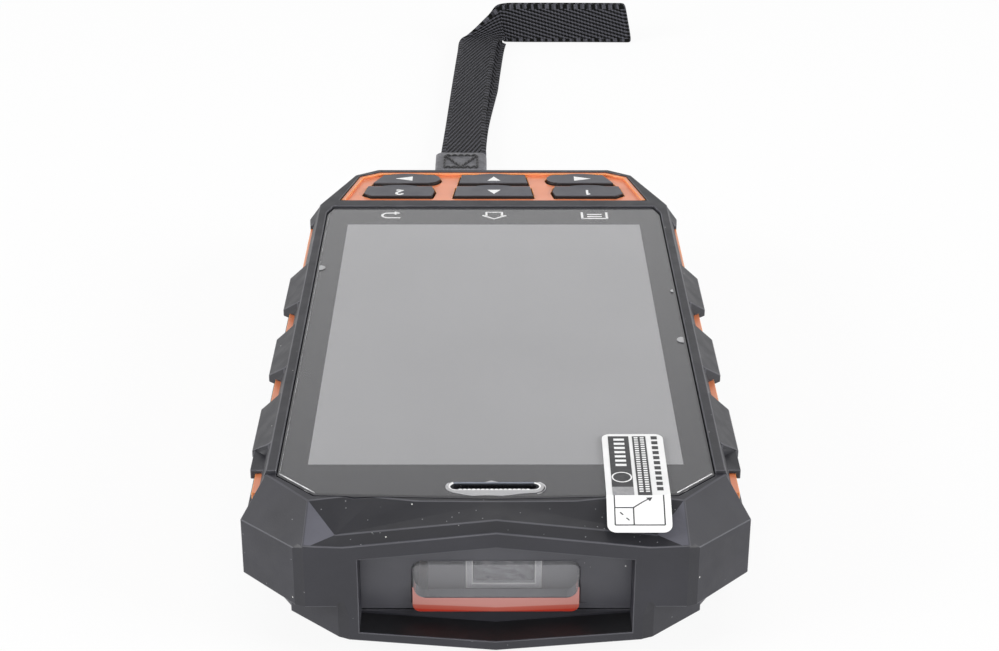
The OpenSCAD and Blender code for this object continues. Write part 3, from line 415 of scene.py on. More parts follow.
def gasket_red():
    """Red rubber sill with painted light: pale bands of painted reflection where its top catches the light,
    over deep red painted shade low down, dipping to the middle.
    """
    look = Look("gasket_red", Coat_Weight=0.3, Coat_Roughness=0.2)
    parts = look.node("ShaderNodeSeparateXYZ", {"Vector": look.place}).outputs
    dip = look.math("MULTIPLY", look.math("ABSOLUTE", parts["X"]), GASKET_DIP)
    height = look.math("SUBTRACT", parts["Z"], dip)
    level = look.math("MULTIPLY_ADD", height, 1 / (GASKET_BANDS * MM), -GASKET_FOOT / GASKET_BANDS)
    # deep red low down is painted shade, the pale bands above are painted reflection
    tint = look.ramp(level, (0.17, paint("#a82a16")), (0.21, paint("#a84838")), (0.41, paint("#ab5244")),
                     (0.45, paint("#b87c73")), (1.0, paint("#b67d77")))
    return look.finish(tint, look.gloss(2, 2, 0.3, 0.4), look.noise(0.5, 2), 0.004)


def engine_glass():
    """Clouded glass in front of the scan engine's lens."""
    look = Look("engine_glass", Coat_Weight=0.5, Coat_Roughness=0.1, Alpha=0.85)
    tint = look.blend(look.noise(1.6, 5, (1, 1, 2.2)), "#5c5c61", "#9b9ba0", (0.35, 0.68))
    return look.finish(tint, look.gloss(0.8, 3, 0.2, 0.4), look.noise(1.2, 3), 0.05)


def webbing_black():
    """Woven twill: slanted ribs broken by the weft, and straight ribs along both edges."""
    look = Look("webbing_black", Sheen_Weight=0.03, Sheen_Roughness=0.5, Specular_IOR_Level=0.1)
    ribs = look.stripes(3.0, -1.0)
    turned_ribs = look.math("SUBTRACT", look.stripes(1.9), ribs)
    across = look.node("ShaderNodeSeparateXYZ", {"Vector": look.uv}).outputs["Y"]
    border = look.math("GREATER_THAN", look.math("ABSOLUTE", across), (WEBBING_W / 2 - 1.1) * MM)
    twill = look.math("ADD", ribs, look.math("MULTIPLY", border, turned_ribs))
    height = look.math("ADD", twill, look.math("MULTIPLY", look.stripes(0.85), 0.55))
    level = look.math("MULTIPLY_ADD", height, 0.32, 0.5)
    # The colour follows the weave's height: painted shade in the grooves and a painted highlight on the ribs.
    tint = look.blend(level, "#010101", "#4a4a50", (0.36, 0.72))
    return look.finish(tint, look.gloss(0.4, 2, 0.6, 0.8), level, 0.3)


def patch_leather():
    """Grained leathercloth: small pebbles and creases."""
    look = Look("patch_leather", Specular_IOR_Level=0.4)
    pebbles = look.node("ShaderNodeTexVoronoi", {"Vector": look.place, "Scale": 1 / (0.7 * MM)})
    grain = look.math("ADD", pebbles.outputs["Distance"], look.noise(2.5, 3))
    tint = look.blend(look.noise(3, 4), "#56565a", "#727277")
    return look.finish(tint, look.gloss(1.2, 3, 0.45, 0.62), grain, 0.08)


def cord_black():
    """Laid cord and sewing thread."""
    look = Look("cord_black", Sheen_Weight=0.2, Sheen_Roughness=0.5)
    fibres = look.noise(0.18, 3, (1, 0.3, 1))
    tint = look.blend(fibres, "#121214", "#2b2b2e")
    return look.finish(tint, look.gloss(0.5, 2, 0.55, 0.75), fibres, 0.03)


def tab_white():
    """Glossy white label stock with a faint mottle."""
    look = Look("tab_white", Coat_Weight=0.3, Coat_Roughness=0.15)
    tint = look.blend(look.noise(5, 3), "#e6e6e6", "#f2f2f2")
    return look.finish(tint, look.gloss(3, 3, 0.3, 0.42), look.noise(0.4, 2), 0.004)


# Colour, worn colour and roughness, then where they differ the grain's size and depth, dust and coat
MOULDED = {
    "case_black": ("#1d1d22", "#25252b", 0.5, 0.35, 0.012, 0.08),
    "head_black": ("#1f1f25", "#27272e", 0.5, 0.35, 0.012, 0.05),
    # darker than the head's black: painted shade on the slope and its bevel; the denser specks are dust
    "slope_black": ("#17171c", "#1d1d23", 0.5, 0.35, 0.012, 0.45),
    # much lighter than the head's black: painted highlight on the triangle facet that catches the light
    "corner_black": ("#4a4a52", "#5a5a63", 0.55, 0.6, 0.06),
    # lighter black for rounded edges: a painted highlight
    "edge_black": ("#3c3c42", "#4a4a50", 0.4),
    "case_orange": ("#dd7846", "#e28352", 0.38, 0.5, 0.006, 0, (1.0, 0.3)),
    # lighter orange for rounded edges: a painted highlight
    "edge_orange": ("#ea9040", "#ef9e52", 0.35, 0.5, 0.006, 0, (0.6, 0.25)),
    "key_grey": ("#48484e", "#525258", 0.46, 0.3, 0.006),
    "edge_key": ("#46464c", "#505056", 0.4, 0.3, 0.006),
    # near-black for key walls and the scan recess's floor: painted shade
    "key_wall": ("#0d0d10", "#131317", 0.5, 0.3, 0.006),
    "seal_rubber": ("#5f6066", "#6d6e73", 0.7),
    "tape_black": ("#161617", "#202022", 0.8),
    "display_grey": ("#a0a0a3", "#acacae", 0.3),
    "part_black": ("#1e1e20", "#29292c", 0.5),
    "panel_grey": ("#46464c", "#4e4e54", 0.36, 0.5, 0.004, 0.03),
    "engine_white": ("#c0c0c4", "#cfcfd3", 0.4),
    # near-white for the engine frame's rounded edges: a painted highlight
    "engine_edge": ("#f0f0f0", "#fafafa", 0.35),
    "engine_dark": ("#626267", "#707075", 0.5),
    "ferrite": ("#3a3836", "#4a4846", 0.6),
    "lens_dark": ("#0b0d12", "#12151c", 0.12, 0.35, 0.012, 0, (1.0, 0.03)),
    "battery_grey": ("#6f7175", "#7d7f83", 0.45),
}
METALS = {
    "screw_steel": ("#c3c5c8", "#8f9296", 0.3),
    "sheet_metal": ("#b9bcc0", "#94989d", 0.35, (1, 8, 1)),
    "mesh_black": ("#2a2d33", "#121317", 0.4),
    "copper_winding": ("#c7773f", "#8a4a22", 0.35, (8, 1, 1)),
    "contact_gold": ("#e0bd62", "#b08a34", 0.28),
}
CLEAR = {
    "film_clear": ("#d9d9dc", 0.03, 0.12),
    "film_lifted": ("#b4b4b6", 0.85, 0.3),
    "film_shade": ("#7a808c", 0.9, 0.2),
    "window_clear": ("#b4b4b8", 0.24, 0.06, (0.5, 0.05)),
}
INKS = {
    "print_white": ("#e4e4e4", "#f4f4f4"),
    "print_dark": ("#2c2c2e", "#3a3a3c"),
    "print_grey": ("#8a8a8c", "#9d9d9f"),
}
LOOKS = {
    "circuit_board": circuit_board(), "touch_glass": glass_border(), "picture_glass": picture_glass(),
    "film_edge_highlight": film_edge_highlight(), "gasket_red": gasket_red(), "engine_glass": engine_glass(),
    "webbing_black": webbing_black(), "patch_leather": patch_leather(), "cord_black": cord_black(),
    "tab_white": tab_white(),
}
for recipe, table in ((moulded, MOULDED), (metal, METALS), (clear, CLEAR), (ink, INKS)):
    LOOKS.update({name: recipe(name, *values) for name, values in table.items()})


# Camera

def make_camera():
    """A camera at the photo's viewpoint, with the photo's field of view."""
    flat = math.cos(CAMERA_PITCH)
    forward = Vector((math.sin(CAMERA_YAW) * flat, math.cos(CAMERA_YAW) * flat, -math.sin(CAMERA_PITCH)))
    right = Vector((math.cos(CAMERA_YAW), -math.sin(CAMERA_YAW), 0))
    up = right.cross(forward)
    rolled = Matrix.Rotation(CAMERA_ROLL, 3, -forward)
    right, up = rolled @ right, rolled @ up
    data = bpy.data.cameras.new("camera")
    data.sensor_fit = "HORIZONTAL"
    data.sensor_width = SENSOR_W
    data.lens = FOCAL_PIXELS * SENSOR_W / IMAGE_W
    data.clip_start = 0.01
    data.clip_end = 50
    camera = bpy.data.objects.new("camera", data)
    turn = Matrix((right, up, -forward)).transposed().to_4x4()
    camera.matrix_world = Matrix.Translation(CAMERA_PLACE * MM) @ turn
    bpy.context.scene.collection.objects.link(camera)
    bpy.context.scene.camera = camera


make_camera()


# Strap

CORD_STEPS = 16
CORD_PLIES = 3
CORD_LAY = 4.2
CORD_RIDGE = 0.09
STRAP_STEPS = 10
LAYER_MIDDLE = (WEBBING_T - LAYER_T) / 2
TURN_STEPS = 8
BAND_SIDES = 24
BAND_POWERS = (0.35, 0.6)    # how square the band's section is across it and up: less is squarer
LOWER_LAYER_OUT = 1.9        # how far the lower layer shows beside the upper one before the corner
LOWER_LAYER_Y = (131, 175)   # where it starts to show, and where it shows in full
PATCH_CORNER = 1.0
STITCH_W = 7.2
STITCH_Y = (0.9, 8.0)        # the sewn rows' near and far ends, from the patch's near edge
STITCH_L = 1.4
STITCH_PITCH = 1.6
STITCH_R = 0.24


def make_cord():
    """The thin laid cord that ties the strap to its bar."""
    line = smooth_line(CORD_ROUTE, CORD_STEPS)
    rings = tube(line, CORD_D / 2 * (1 - CORD_RIDGE / 2), 10, CORD_PLIES, CORD_LAY, CORD_RIDGE)
    cord = add_skin("strap_cord_laid", loft(rings), "cord_black", "cord_black")
    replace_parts(cord, "strap_cord")


def strap_stations():
    """Middle, half width, direction along, direction across and normal at points along the strap."""
    left, right = (smooth_line(edge, STRAP_STEPS) for edge in (STRAP_LEFT, STRAP_RIGHT))
    middles = [(a + b) / 2 for a, b in zip(left, right)]
    stations = []
    for a, b, middle, along in zip(left, right, middles, directions(middles)):
        across = (b - a).normalized()
        stations.append((middle, (b - a).length / 2, along, across, across.cross(along).normalized()))
    return stations


def strap_loop():
    """Stations of one band that runs out as the upper layer, turns and comes back as the lower one."""
    stations = strap_stations()
    loop = []
    for middle, half, along, across, normal in stations:
        loop.append((middle + LAYER_MIDDLE * normal, half, across, normal))
    middle, half, along, across, normal = stations[-1]
    for k in range(1, TURN_STEPS):
        turn = math.pi * k / TURN_STEPS
        out = normal * math.cos(turn) + along * math.sin(turn)
        loop.append((middle + LAYER_MIDDLE * out, half, across, out))
    start, full = LOWER_LAYER_Y
    for middle, half, along, across, normal in reversed(stations):
        showing = min(max((middle.y - start) / (full - start), 0), 1) * min(1.6 * normal.z, 1)
        middle = middle + LOWER_LAYER_OUT * showing * across
        loop.append((middle - LAYER_MIDDLE * normal, half, across, -normal))
    return loop


def band_profile():
    """Shares of the half width and half thickness round the band's rounded section."""
    across, up = BAND_POWERS
    profile = []
    for k in range(BAND_SIDES):
        angle = 2 * math.pi * k / BAND_SIDES
        c, s = math.cos(angle), math.sin(angle)
        profile.append((sign(c) * abs(c) ** across, sign(s) * abs(s) ** up))
    return profile


def make_webbing():
    """The folded webbing band, with a UV map in metres along it and across it."""
    profile = band_profile()
    rings, lengths = [], []
    length = 0.0
    loop = strap_loop()
    for i, (middle, half, across, normal) in enumerate(loop):
        length += (middle - loop[i - 1][0]).length if i else 0.0
        lengths.append(length)
        rings.append([middle + half * out * across + LAYER_T / 2 * rise * normal for out, rise in profile])
    band = add_skin("strap_webbing_band", loft(rings), "webbing_black", "webbing_black")
    layer = band.data.uv_layers.new(name="weave")
    for corner in band.data.loops:
        station, k = divmod(corner.vertex_index, BAND_SIDES)
        layer.data[corner.index].uv = (lengths[station] * MM, WEBBING_W / 2 * profile[k][0] * MM)
    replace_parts(band, "strap_webbing")


def make_patch():
    """The leather patch that holds the strap's ends, with a slightly crowned top."""
    lo, hi = low("strap_patch"), high("strap_patch")
    size, middle = hi - lo, (lo + hi) / 2
    steps = [(0, 0.5), (0.35, 0.08), (size.z * 0.5, 0), (size.z - 0.6, 0.1), (size.z - 0.2, 0.5),
             (size.z - 0.05, 1.2), (size.z, 2.4)]
    rings = []
    for z, inset in steps:
        outline = rounded_outline(size.x - 2 * inset, size.y - 2 * inset, PATCH_CORNER)
        rings.append([Vector((middle.x + x, middle.y + y, z)) for x, y in outline])
    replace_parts(add_skin("strap_patch_sewn", loft(rings), "patch_leather", "patch_leather"), "strap_patch")
    make_stitches(middle.x, lo.y, size.z)


def stitch_row(start, end, z):
    """Stitches along a line, each a short arched thread."""
    start, end = Vector((*start, z)), Vector((*end, z))
    count = max(1, round((end - start).length / STITCH_PITCH))
    along = (end - start).normalized()
    parts = []
    for i in range(count):
        middle = start.lerp(end, (i + 0.5) / count)
        line = []
        for k in range(-3, 4):
            rise = STITCH_R * (1.1 - 1.8 * (k / 3) ** 2)
            line.append(middle + along * (STITCH_L / 2 * k / 3) + Vector((0, 0, rise)))
        parts.append(tube(line, STITCH_R, 6))
    return parts


def make_stitches(x, near, top):
    """A sewn box with two slanted rows that meet at its near end."""
    left, right = x - STITCH_W / 2, x + STITCH_W / 2
    first, last = near + STITCH_Y[0], near + STITCH_Y[1]
    rows = [((left, first), (left, last)), ((right, first), (right, last)), ((left, last), (right, last)),
            ((left, first), (right, first)), ((left, last), (x, first)), ((right, last), (x, first))]
    parts = [part for start, end in rows for part in stitch_row(start, end, top)]
    add_skin("strap_stitches", join_lofts(parts), "cord_black", "cord_black")


make_cord()
make_webbing()
make_patch()


# Case pieces with rounded edges

MERGE = 0.06
SHARP_ANGLE = math.radians(18)
SHORT_EDGE = 2.2         # an edge shorter than this many widths of its rounding stays sharp
EDGE_PROFILE = 0.6
FLAT_CREASE = math.radians(3)
ROUND_CREASE = math.radians(30)
FLAT_SIDED = ("head_cap", "front_frame", "mid_shell", "rear_shell", "window_panel", "keypad_plate")
SHELL_EDGES = {
    "front_frame": 0.16, "mid_shell": 0.15, "rear_shell": 0.2, "keypad_plate": 0.12, "side_key_left": 0.3,
    "side_key_right": 0.3, "window_panel": 0.15, "battery_cover": 0.2, "port_door": 0.2, "camera_lens": 0.2,
    "case_screws": 0.1, "battery_cover_screws": 0.08}
# Rounded edges wear a lighter copy of their shell's colour: a painted highlight.
EDGE_HIGHLIGHT_LOOKS = {"case_black": "edge_black", "case_orange": "edge_orange"}
HEAD_CORNER = 0.85
HEAD_EDGE = 0.14
HEAD_CORNER_X = 20
HEAD_SHARP = math.radians(14)
SLOPE_LENGTH = 12        # an inner crease of the slope is longer than this, or lies in the middle
TRIANGLE_X = (22.2, 25.8)
TRIANGLE_Z = (18.4, 21.2)
RECESS_FLOOR = 8
RECESS_HALF = 24
WINDOW_EDGE = 0.2
WINDOW_GAP = 0.02


def solid_of(node):
    """The CAD node's mesh as a working shape, with its points joined and its sharp edges as creases."""
    crease = FLAT_CREASE if node in FLAT_SIDED else ROUND_CREASE
    shape = bmesh.new()
    shape.from_mesh(NODES[node].data)
    for layer in list(shape.loops.layers.float_vector.values()):
        shape.loops.layers.float_vector.remove(layer)
    bmesh.ops.remove_doubles(shape, verts=shape.verts, dist=MERGE * MM)
    for edge in shape.edges:
        edge.smooth = not edge.is_manifold or edge.calc_face_angle(0) < crease
    return shape


def round_edges(shape, width, keep=None, segments=2, sharp=SHARP_ANGLE):
    """Rounds the outer edges of a shape, or those of them that keep picks. The new faces take slot 1."""
    edges = [e for e in shape.edges if e.is_manifold and e.is_convex and e.calc_face_angle(0) > sharp
             and e.calc_length() > SHORT_EDGE * width * MM and (keep is None or keep(e))]
    for edge in edges:
        edge.smooth = True
    bmesh.ops.bevel(shape, geom=edges, offset=width * MM, offset_type="OFFSET", segments=segments,
                    profile=EDGE_PROFILE, affect="EDGES", clamp_overlap=False, material=1, loop_slide=True)


def above(z):
    """A test for edges that lie above a height."""
    return lambda edge: all(v.co.z > z * MM for v in edge.verts)


def mark(shape, slot, test):
    """Gives a slot to those plain faces that pass a test."""
    shape.normal_update()
    for face in shape.faces:
        if face.material_index == 0 and test(face):
            face.material_index = slot


def finished(node, shape, *looks):
    """Makes a piece of a working shape, in place of its CAD node."""
    name = node + "_finished"
    mesh = bpy.data.meshes.new(name)
    shape.to_mesh(mesh)
    shape.free()
    if "custom_normal" in mesh.attributes:
        mesh.attributes.remove(mesh.attributes["custom_normal"])
    mesh.polygons.foreach_set("use_smooth", [True] * len(mesh.polygons))
    piece = new_object(name, mesh, BODY_OF[node], SLOT_OF[node], *looks)
    weighted = piece.modifiers.new("weighted", "WEIGHTED_NORMAL")
    weighted.keep_sharp = True
    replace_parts(piece, node)


def make_shell(node, width):
    shape = solid_of(node)
    round_edges(shape, width)
    slot = SLOT_OF[node]
    finished(node, shape, slot, EDGE_HIGHLIGHT_LOOKS.get(slot, slot))


def slope_face(face):
    """Whether a face belongs to the head's slope or to the bevel below it."""
    x, y, z = face.calc_center_median() / MM
    flat = face.normal.z > 0.6 and abs(face.normal.x) < 0.2
    return flat and y < low("touch_glass").y and z > TRIANGLE_Z[0]


def triangle_face(face):
    """Whether a face is the small one between the slope and a corner."""
    x, y, z = face.calc_center_median() / MM
    inside = TRIANGLE_X[0] < abs(x) < TRIANGLE_X[1] and TRIANGLE_Z[0] < z < TRIANGLE_Z[1]
    return inside and face.normal.z > 0.5 and abs(face.normal.x) < 0.4


def recess_face(face):
    """Whether a face is the floor of the scan recess."""
    x, y, z = face.calc_center_median() / MM
    return face.normal.z > 0.5 and z < RECESS_FLOOR and abs(x) < RECESS_HALF


def make_head():
    """The head cap. Its upright front corners are cut wider than its other edges."""
    front = low("head_cap").y
    shape = solid_of("head_cap")
    shape.normal_update()

    def front_corner(edge):
        a, b = (v.co / MM for v in edge.verts)
        upright = (a.xy - b.xy).length < 0.1
        return upright and max(a.y, b.y) < front + 0.5 and abs(a.x) > HEAD_CORNER_X

    def plain_edge(edge):
        return all(face.material_index == 0 for face in edge.link_faces)

    for edge in shape.edges:
        middle = max(abs(v.co.x) for v in edge.verts) < 0.1 * MM
        inner = not edge.is_convex and edge.calc_length() > SLOPE_LENGTH * MM
        if (middle or inner) and all(slope_face(f) for f in edge.link_faces):
            edge.smooth = True
    round_edges(shape, HEAD_CORNER, front_corner, segments=1)
    for face in shape.faces:
        face.material_index = 2 if face.material_index else 0
    # These rounded edges take the lighter edge look, a painted highlight.
    round_edges(shape, HEAD_EDGE, plain_edge, sharp=HEAD_SHARP)
    for face in shape.faces:
        if face.material_index == 2:
            for edge in face.edges:
                edge.smooth = False
    # The small triangle facet wears a light grey: a painted highlight.
    mark(shape, 4, triangle_face)
    # The slope and the bevel below it wear a darker black: painted shade.
    mark(shape, 3, slope_face)
    # The scan recess's floor wears near-black: painted shade.
    mark(shape, 5, recess_face)
    finished("head_cap", shape, "head_black", "edge_black", "case_black", "slope_black", "corner_black",
             "key_wall")


def make_window():
    """The clear window, a hair smaller than its seat."""
    shape = solid_of("scan_window")
    round_edges(shape, WINDOW_EDGE)
    shape.normal_update()
    for vert in shape.verts:
        vert.co -= vert.normal * WINDOW_GAP * MM
    finished("scan_window", shape, "window_clear", "window_clear")


def make_gasket():
    """The red window gasket, whose upward faces wear the engine's dark grey as painted shade."""
    shape = solid_of("window_gasket")
    # Upward faces take dark grey: painted shade.
    mark(shape, 1, lambda face: face.normal.z > 0.5)
    finished("window_gasket", shape, "gasket_red", "engine_dark")


for node, width in SHELL_EDGES.items():
    make_shell(node, width)
make_head()
make_window()
make_gasket()


# Keys and their marks

KEY_EDGE = 0.14
KEY_SKIRT = 0.9          # height of a key's hidden foot, whose edges stay sharp
MARK_COLUMNS = 6
MARK_T = 0.03
ARROW_MARK = (3.1, 2.1)
ARROW_PLACE = (16.7, 59.25)
UP_MARK = (2.4, 2.0)
MIDDLE_ARROWS = {"key_up": ((0.1, 59.2), (0, 1)), "key_down": ((0.1, 52.5), (0, -1))}
DIGITS = {
    "key_one": [[(-0.5, 0.75), (0, 1.1), (0, 0.4), (0, -0.4), (0, -1.1)]],
    "key_two": [arc((0, 0.5), 0.6, 170, -40, 8) + [(-0.6, -1.05), (-0.1, -1.05), (0.65, -1.05)]],
}
DIGIT_PLACE = (17.3, 52.3)
DIGIT_LINE = 0.45


def triangle(middle, size, direction):
    """A filled triangle that points along X or Y, as a strip from its base to its tip."""
    along = Vector(direction)
    across = Vector((-along.y, along.x))
    length, width = size if along.x else reversed(size)
    left, right = [], []
    for i in range(MARK_COLUMNS + 1):
        share = i / MARK_COLUMNS
        spine = Vector(middle) + along * length * (share - 0.5)
        half = max(width / 2 * (1 - share), 0.02)
        left.append(spine + across * half)
        right.append(spine - across * half)
    return [(left, right)]


def turned(lines, middle):
    """Lines drawn upright about their middle, turned to face someone who holds the keypad end."""
    return [[(middle[0] - x, middle[1] - y) for x, y in line] for line in lines]


def key_marks(node):
    """Strips of the mark on a key: an arrow that points outwards, or a plain number."""
    side = sign((low(node).x + high(node).x) / 2)
    if node in DIGITS:
        lines = turned(DIGITS[node], (side * DIGIT_PLACE[0], DIGIT_PLACE[1]))
        return [stroke(line, DIGIT_LINE) for line in lines]
    if node in MIDDLE_ARROWS:
        place, direction = MIDDLE_ARROWS[node]
        return triangle(place, UP_MARK, direction)
    return triangle((side * ARROW_PLACE[0], ARROW_PLACE[1]), ARROW_MARK, (side, 0))


def make_key(node):
    """A key whose walls are painted near-black as shade, and its mark laid on its top."""
    shape = solid_of(node)
    round_edges(shape, KEY_EDGE, above(low(node).z + KEY_SKIRT))
    surface = BVHTree.FromBMesh(shape)
    top = high(node).z + 1

    def on_key(x, y):
        return surface.ray_cast(Vector((x, y, top)) * MM, Vector((0, 0, -1)))[0] / MM

    # The key's walls wear near-black: painted shade.
    mark(shape, 2, lambda face: face.normal.z < 0.5)
    finished(node, shape, "key_grey", "edge_key", "key_wall")
    add_print(node + "_mark", key_marks(node), on_key, BODY_OF[node], SLOT_OF[node], "print_white",
              MARK_COLUMNS, MARK_T)


for node in ("key_left", "key_up", "key_right", "key_one", "key_down", "key_two"):
    make_key(node)


# Screen

PICTURE_RIM = (1.6, 2.9, 5.2)    # from the display panel's edge to the picture: sides, near end, far end
TOP_SLACK = 0.01                 # what lies less than this below a top still counts as top
GLASS_EDGE = 0.12
FILM_EDGE = 0.07
FILM_GAP = 0.03
BUBBLES = [(-1, 17.8, 1.0), (1, -10, 1.05), (1, 8.4, 0.5)]    # side, place along it and radius
BUBBLE_IN = 0.1
BUBBLE_H = 0.1
BUBBLE_STEPS = 5
ICON_Y = 41.4
ICON_LINE = 0.42
ICON_LIFT = 0.01
RETURN_ICON = [[(-1.6, 1.1), (0.6, 1.1)] + arc((0.6, 0), 1.1, 90, -90, 8) + [(-1.0, -1.1)],
               [(-0.5, -0.55), (-1.3, -1.1), (-0.5, -1.65)]]
HOUSE_ICON = [[(-2.1, 0), (0, 1.6), (2.1, 0)], [(-1.4, 0.1), (-1.4, -1.5), (-0.5, -1.5)],
              [(1.4, 0.1), (1.4, -1.5), (0.5, -1.5)], [(-0.6, -1.5), (0.6, -1.5)]]
LIST_ICON = [[(-2.2, -1.5), (-2.2, 1.5)], [(2.2, -1.5), (2.2, 1.5)], [(-2.2, 1.4), (2.2, 1.4)],
             [(-1.3, 0.5), (1.3, 0.5)], [(-1.3, -0.5), (1.3, -0.5)]]
ICONS = [(RETURN_ICON, -18.3), (HOUSE_ICON, 0.1), (LIST_ICON, 18.1)]


def make_glass():
    """The touch glass, with the picture marked off from its dark border."""
    side, near, far = PICTURE_RIM
    lo = low("display_panel").xy + Vector((side, near))
    hi = high("display_panel").xy - Vector((side, far))
    shape = solid_of("touch_glass")
    top = high("touch_glass").z - TOP_SLACK
    for point, normal in ((lo, (1, 0)), (lo, (0, 1)), (hi, (1, 0)), (hi, (0, 1))):
        parts = shape.verts[:] + shape.edges[:] + shape.faces[:]
        bmesh.ops.bisect_plane(shape, geom=parts, plane_co=Vector((*point, 0)) * MM,
                               plane_no=Vector((*normal, 0)), dist=1e-6)
    round_edges(shape, GLASS_EDGE, above(top))

    def in_picture(face):
        x, y, z = face.calc_center_median() / MM
        return lo.x < x < hi.x and lo.y < y < hi.y and z > top

    mark(shape, 2, in_picture)
    finished("touch_glass", shape, "touch_glass", "touch_glass", "picture_glass")


def film_shine(normal):
    """Whether a cut edge of the film faces the light: the left side and the right near corner."""
    upright = abs(normal.z) < 0.9
    return upright and (normal.x < -0.3 or normal.x > 0.3 and normal.y < -0.3)


def make_film():
    """The clear film, a hair above the glass, whose cut edge catches the light."""
    shape = solid_of("screen_film")
    top = high("screen_film").z - TOP_SLACK
    for vert in shape.verts:
        if vert.co.z < top * MM:
            vert.co.z += FILM_GAP * MM
    round_edges(shape, FILM_EDGE, above(top), segments=1)
    shape.normal_update()
    for face in shape.faces:
        face.material_index = 1 if film_shine(face.normal) else 0
    finished("screen_film", shape, "film_clear", "film_edge_highlight")


def make_bubbles():
    """Half-round bubbles where the film's edge has lifted."""
    top = high("screen_film").z
    edge = high("screen_film").x - BUBBLE_IN
    parts = []
    for side, y, radius in BUBBLES:
        rings = []
        for k in range(BUBBLE_STEPS):
            turn = math.pi / 2 * k / BUBBLE_STEPS
            outline = arc((side * edge, y), radius * math.cos(turn), 90, 90 + 180 * side, 12)
            rings.append([Vector((*p, top + BUBBLE_H * math.sin(turn))) for p in outline])
        parts.append(rings)
    add_skin("film_bubbles", join_lofts(parts), "film_clear", "film_lifted")


def make_icons():
    """Three plain signs printed on the glass, facing someone who holds the keypad end."""
    top = high("touch_glass").z + ICON_LIFT
    strips = []
    for lines, x in ICONS:
        strips += [stroke(line, ICON_LINE) for line in turned(lines, (x, ICON_Y))]
    add_print("glass_icons", strips, lambda x, y: Vector((x, y, top)), CASE, "touch_glass", "print_white")


# Pull tab

TAB_CORNER = 1.2
TAB_ROWS = 40
TAB_BEND_OUT = 0.4
TAB_T = 0.1
TAB_REACH = 0.95
TAB_TIP_LIFT = 0.15
TAB_BEND = [(1.5, 0, 0), (0.7, -0.02, 0), (0, -0.14, 0.3), (0, 0, 1.4)]    # inwards, up, down the slope
TAB_SHEAR = (0.08, -0.26)        # how far the tab's far and near ends lie to the right
TAB_MARGIN = (0.7, 0.45)         # from the far end to the print, and from the print to the bend
TAB_FADE = 2.2                   # length of the block's grey end
TAB_BLOCK = (0.85, 3.75)         # columns of print across the tab, from its left edge
TAB_INNER = (1.6, 3.1)
TAB_ROWS_OF_MARKS = ((4.5, 5.05), (5.35, 5.9))
TAB_MARK_GROUND = (4.25, 6.15)
TAB_BARS = (6.9, 7.75)
TAB_FRAME = (1.05, 7.65)
BAR_ROW = (1.42, 0.62)           # pitch of a row of marks, and the share of it that is printed
INNER_ROW = (1.2, 0.5)
MARK_ROW = (0.62, 0.55)
UNDER_INK = 0.01                 # height of the lower and the upper print over the tab
OVER_INK = 0.025
TAB_LINE = 0.17
LINE_STEPS = 6
RING = (1.4, 1.2)                # outer and inner radius of the printed ring
RING_SHARE = 0.7                 # its place on the way to the bend


class TabPath:
    """The pull tab's run over the film and down the head's slope, as a place for points on the flat tab."""

    def __init__(self):
        lo, hi = low("film_pull_tab"), high("film_pull_tab")
        edge = low("touch_glass").y - TAB_BEND_OUT
        self.x = (lo.x, hi.x)
        self.bend = hi.y - edge
        tip = Vector((0, lo.y, lo.z + TAB_TIP_LIFT))
        bend = Vector((0, edge, hi.z))
        slope = (tip - bend).normalized()
        middle = [bend + Vector((0, y, z)) + slope * s for y, z, s in TAB_BEND]
        self.line = smooth_line([Vector((0, hi.y, hi.z))] + middle + [tip + slope * TAB_REACH], 8)
        self.length = line_length(self.line)

    def at(self, x, s):
        """The point x across the tab and s along it from its far end."""
        first, last = TAB_SHEAR
        x += first + (last - first) * s / self.length
        for a, b in zip(self.line, self.line[1:]):
            step = (b - a).length
            if s <= step or b is self.line[-1]:
                return a.lerp(b, min(s / step, 1)) + Vector((x, 0, 0))
            s -= step

    def strip(self, columns, s0, s1, corner=0.0, rows=12):
        """A rectangle on the flat tab between two columns from its left edge, with round corners if asked."""
        left, right = [], []
        for i in range(rows + 1):
            s = s0 + (s1 - s0) * (0.5 - 0.5 * math.cos(math.pi * i / rows))
            near = min(s - s0, s1 - s)
            inset = corner - math.sqrt(max(corner ** 2 - (corner - near) ** 2, 0)) if near < corner else 0
            left.append(Vector((self.x[0] + columns[0] + inset, s)))
            right.append(Vector((self.x[0] + columns[1] - inset, s)))
        return left, right

    def rows(self, columns, start, end, pitch, share):
        """Short marks in a row along the tab, each a share of the pitch long."""
        starts = [start + i * pitch for i in range(int((end - start) / pitch))]
        return [self.strip(columns, s, s + share * pitch, rows=2) for s in starts]

    def ring(self, outer, inner):
        """A printed ring, or a disc if its inner radius is next to nothing, in the middle of the block."""
        middle = (self.x[0] + sum(TAB_BLOCK) / 2, self.bend * RING_SHARE)
        return [[Vector(p) for p in arc(middle, radius, 0, 360, 28)] for radius in (outer, inner)]

    def line_of(self, points):
        """A thin printed line through points given across from the left edge and along past the bend."""
        points = [Vector((self.x[0] + x, self.bend + s)) for x, s in points]
        line = [a.lerp(b, i / LINE_STEPS) for a, b in zip(points, points[1:]) for i in range(LINE_STEPS)]
        return stroke(line + [points[-1]], TAB_LINE)


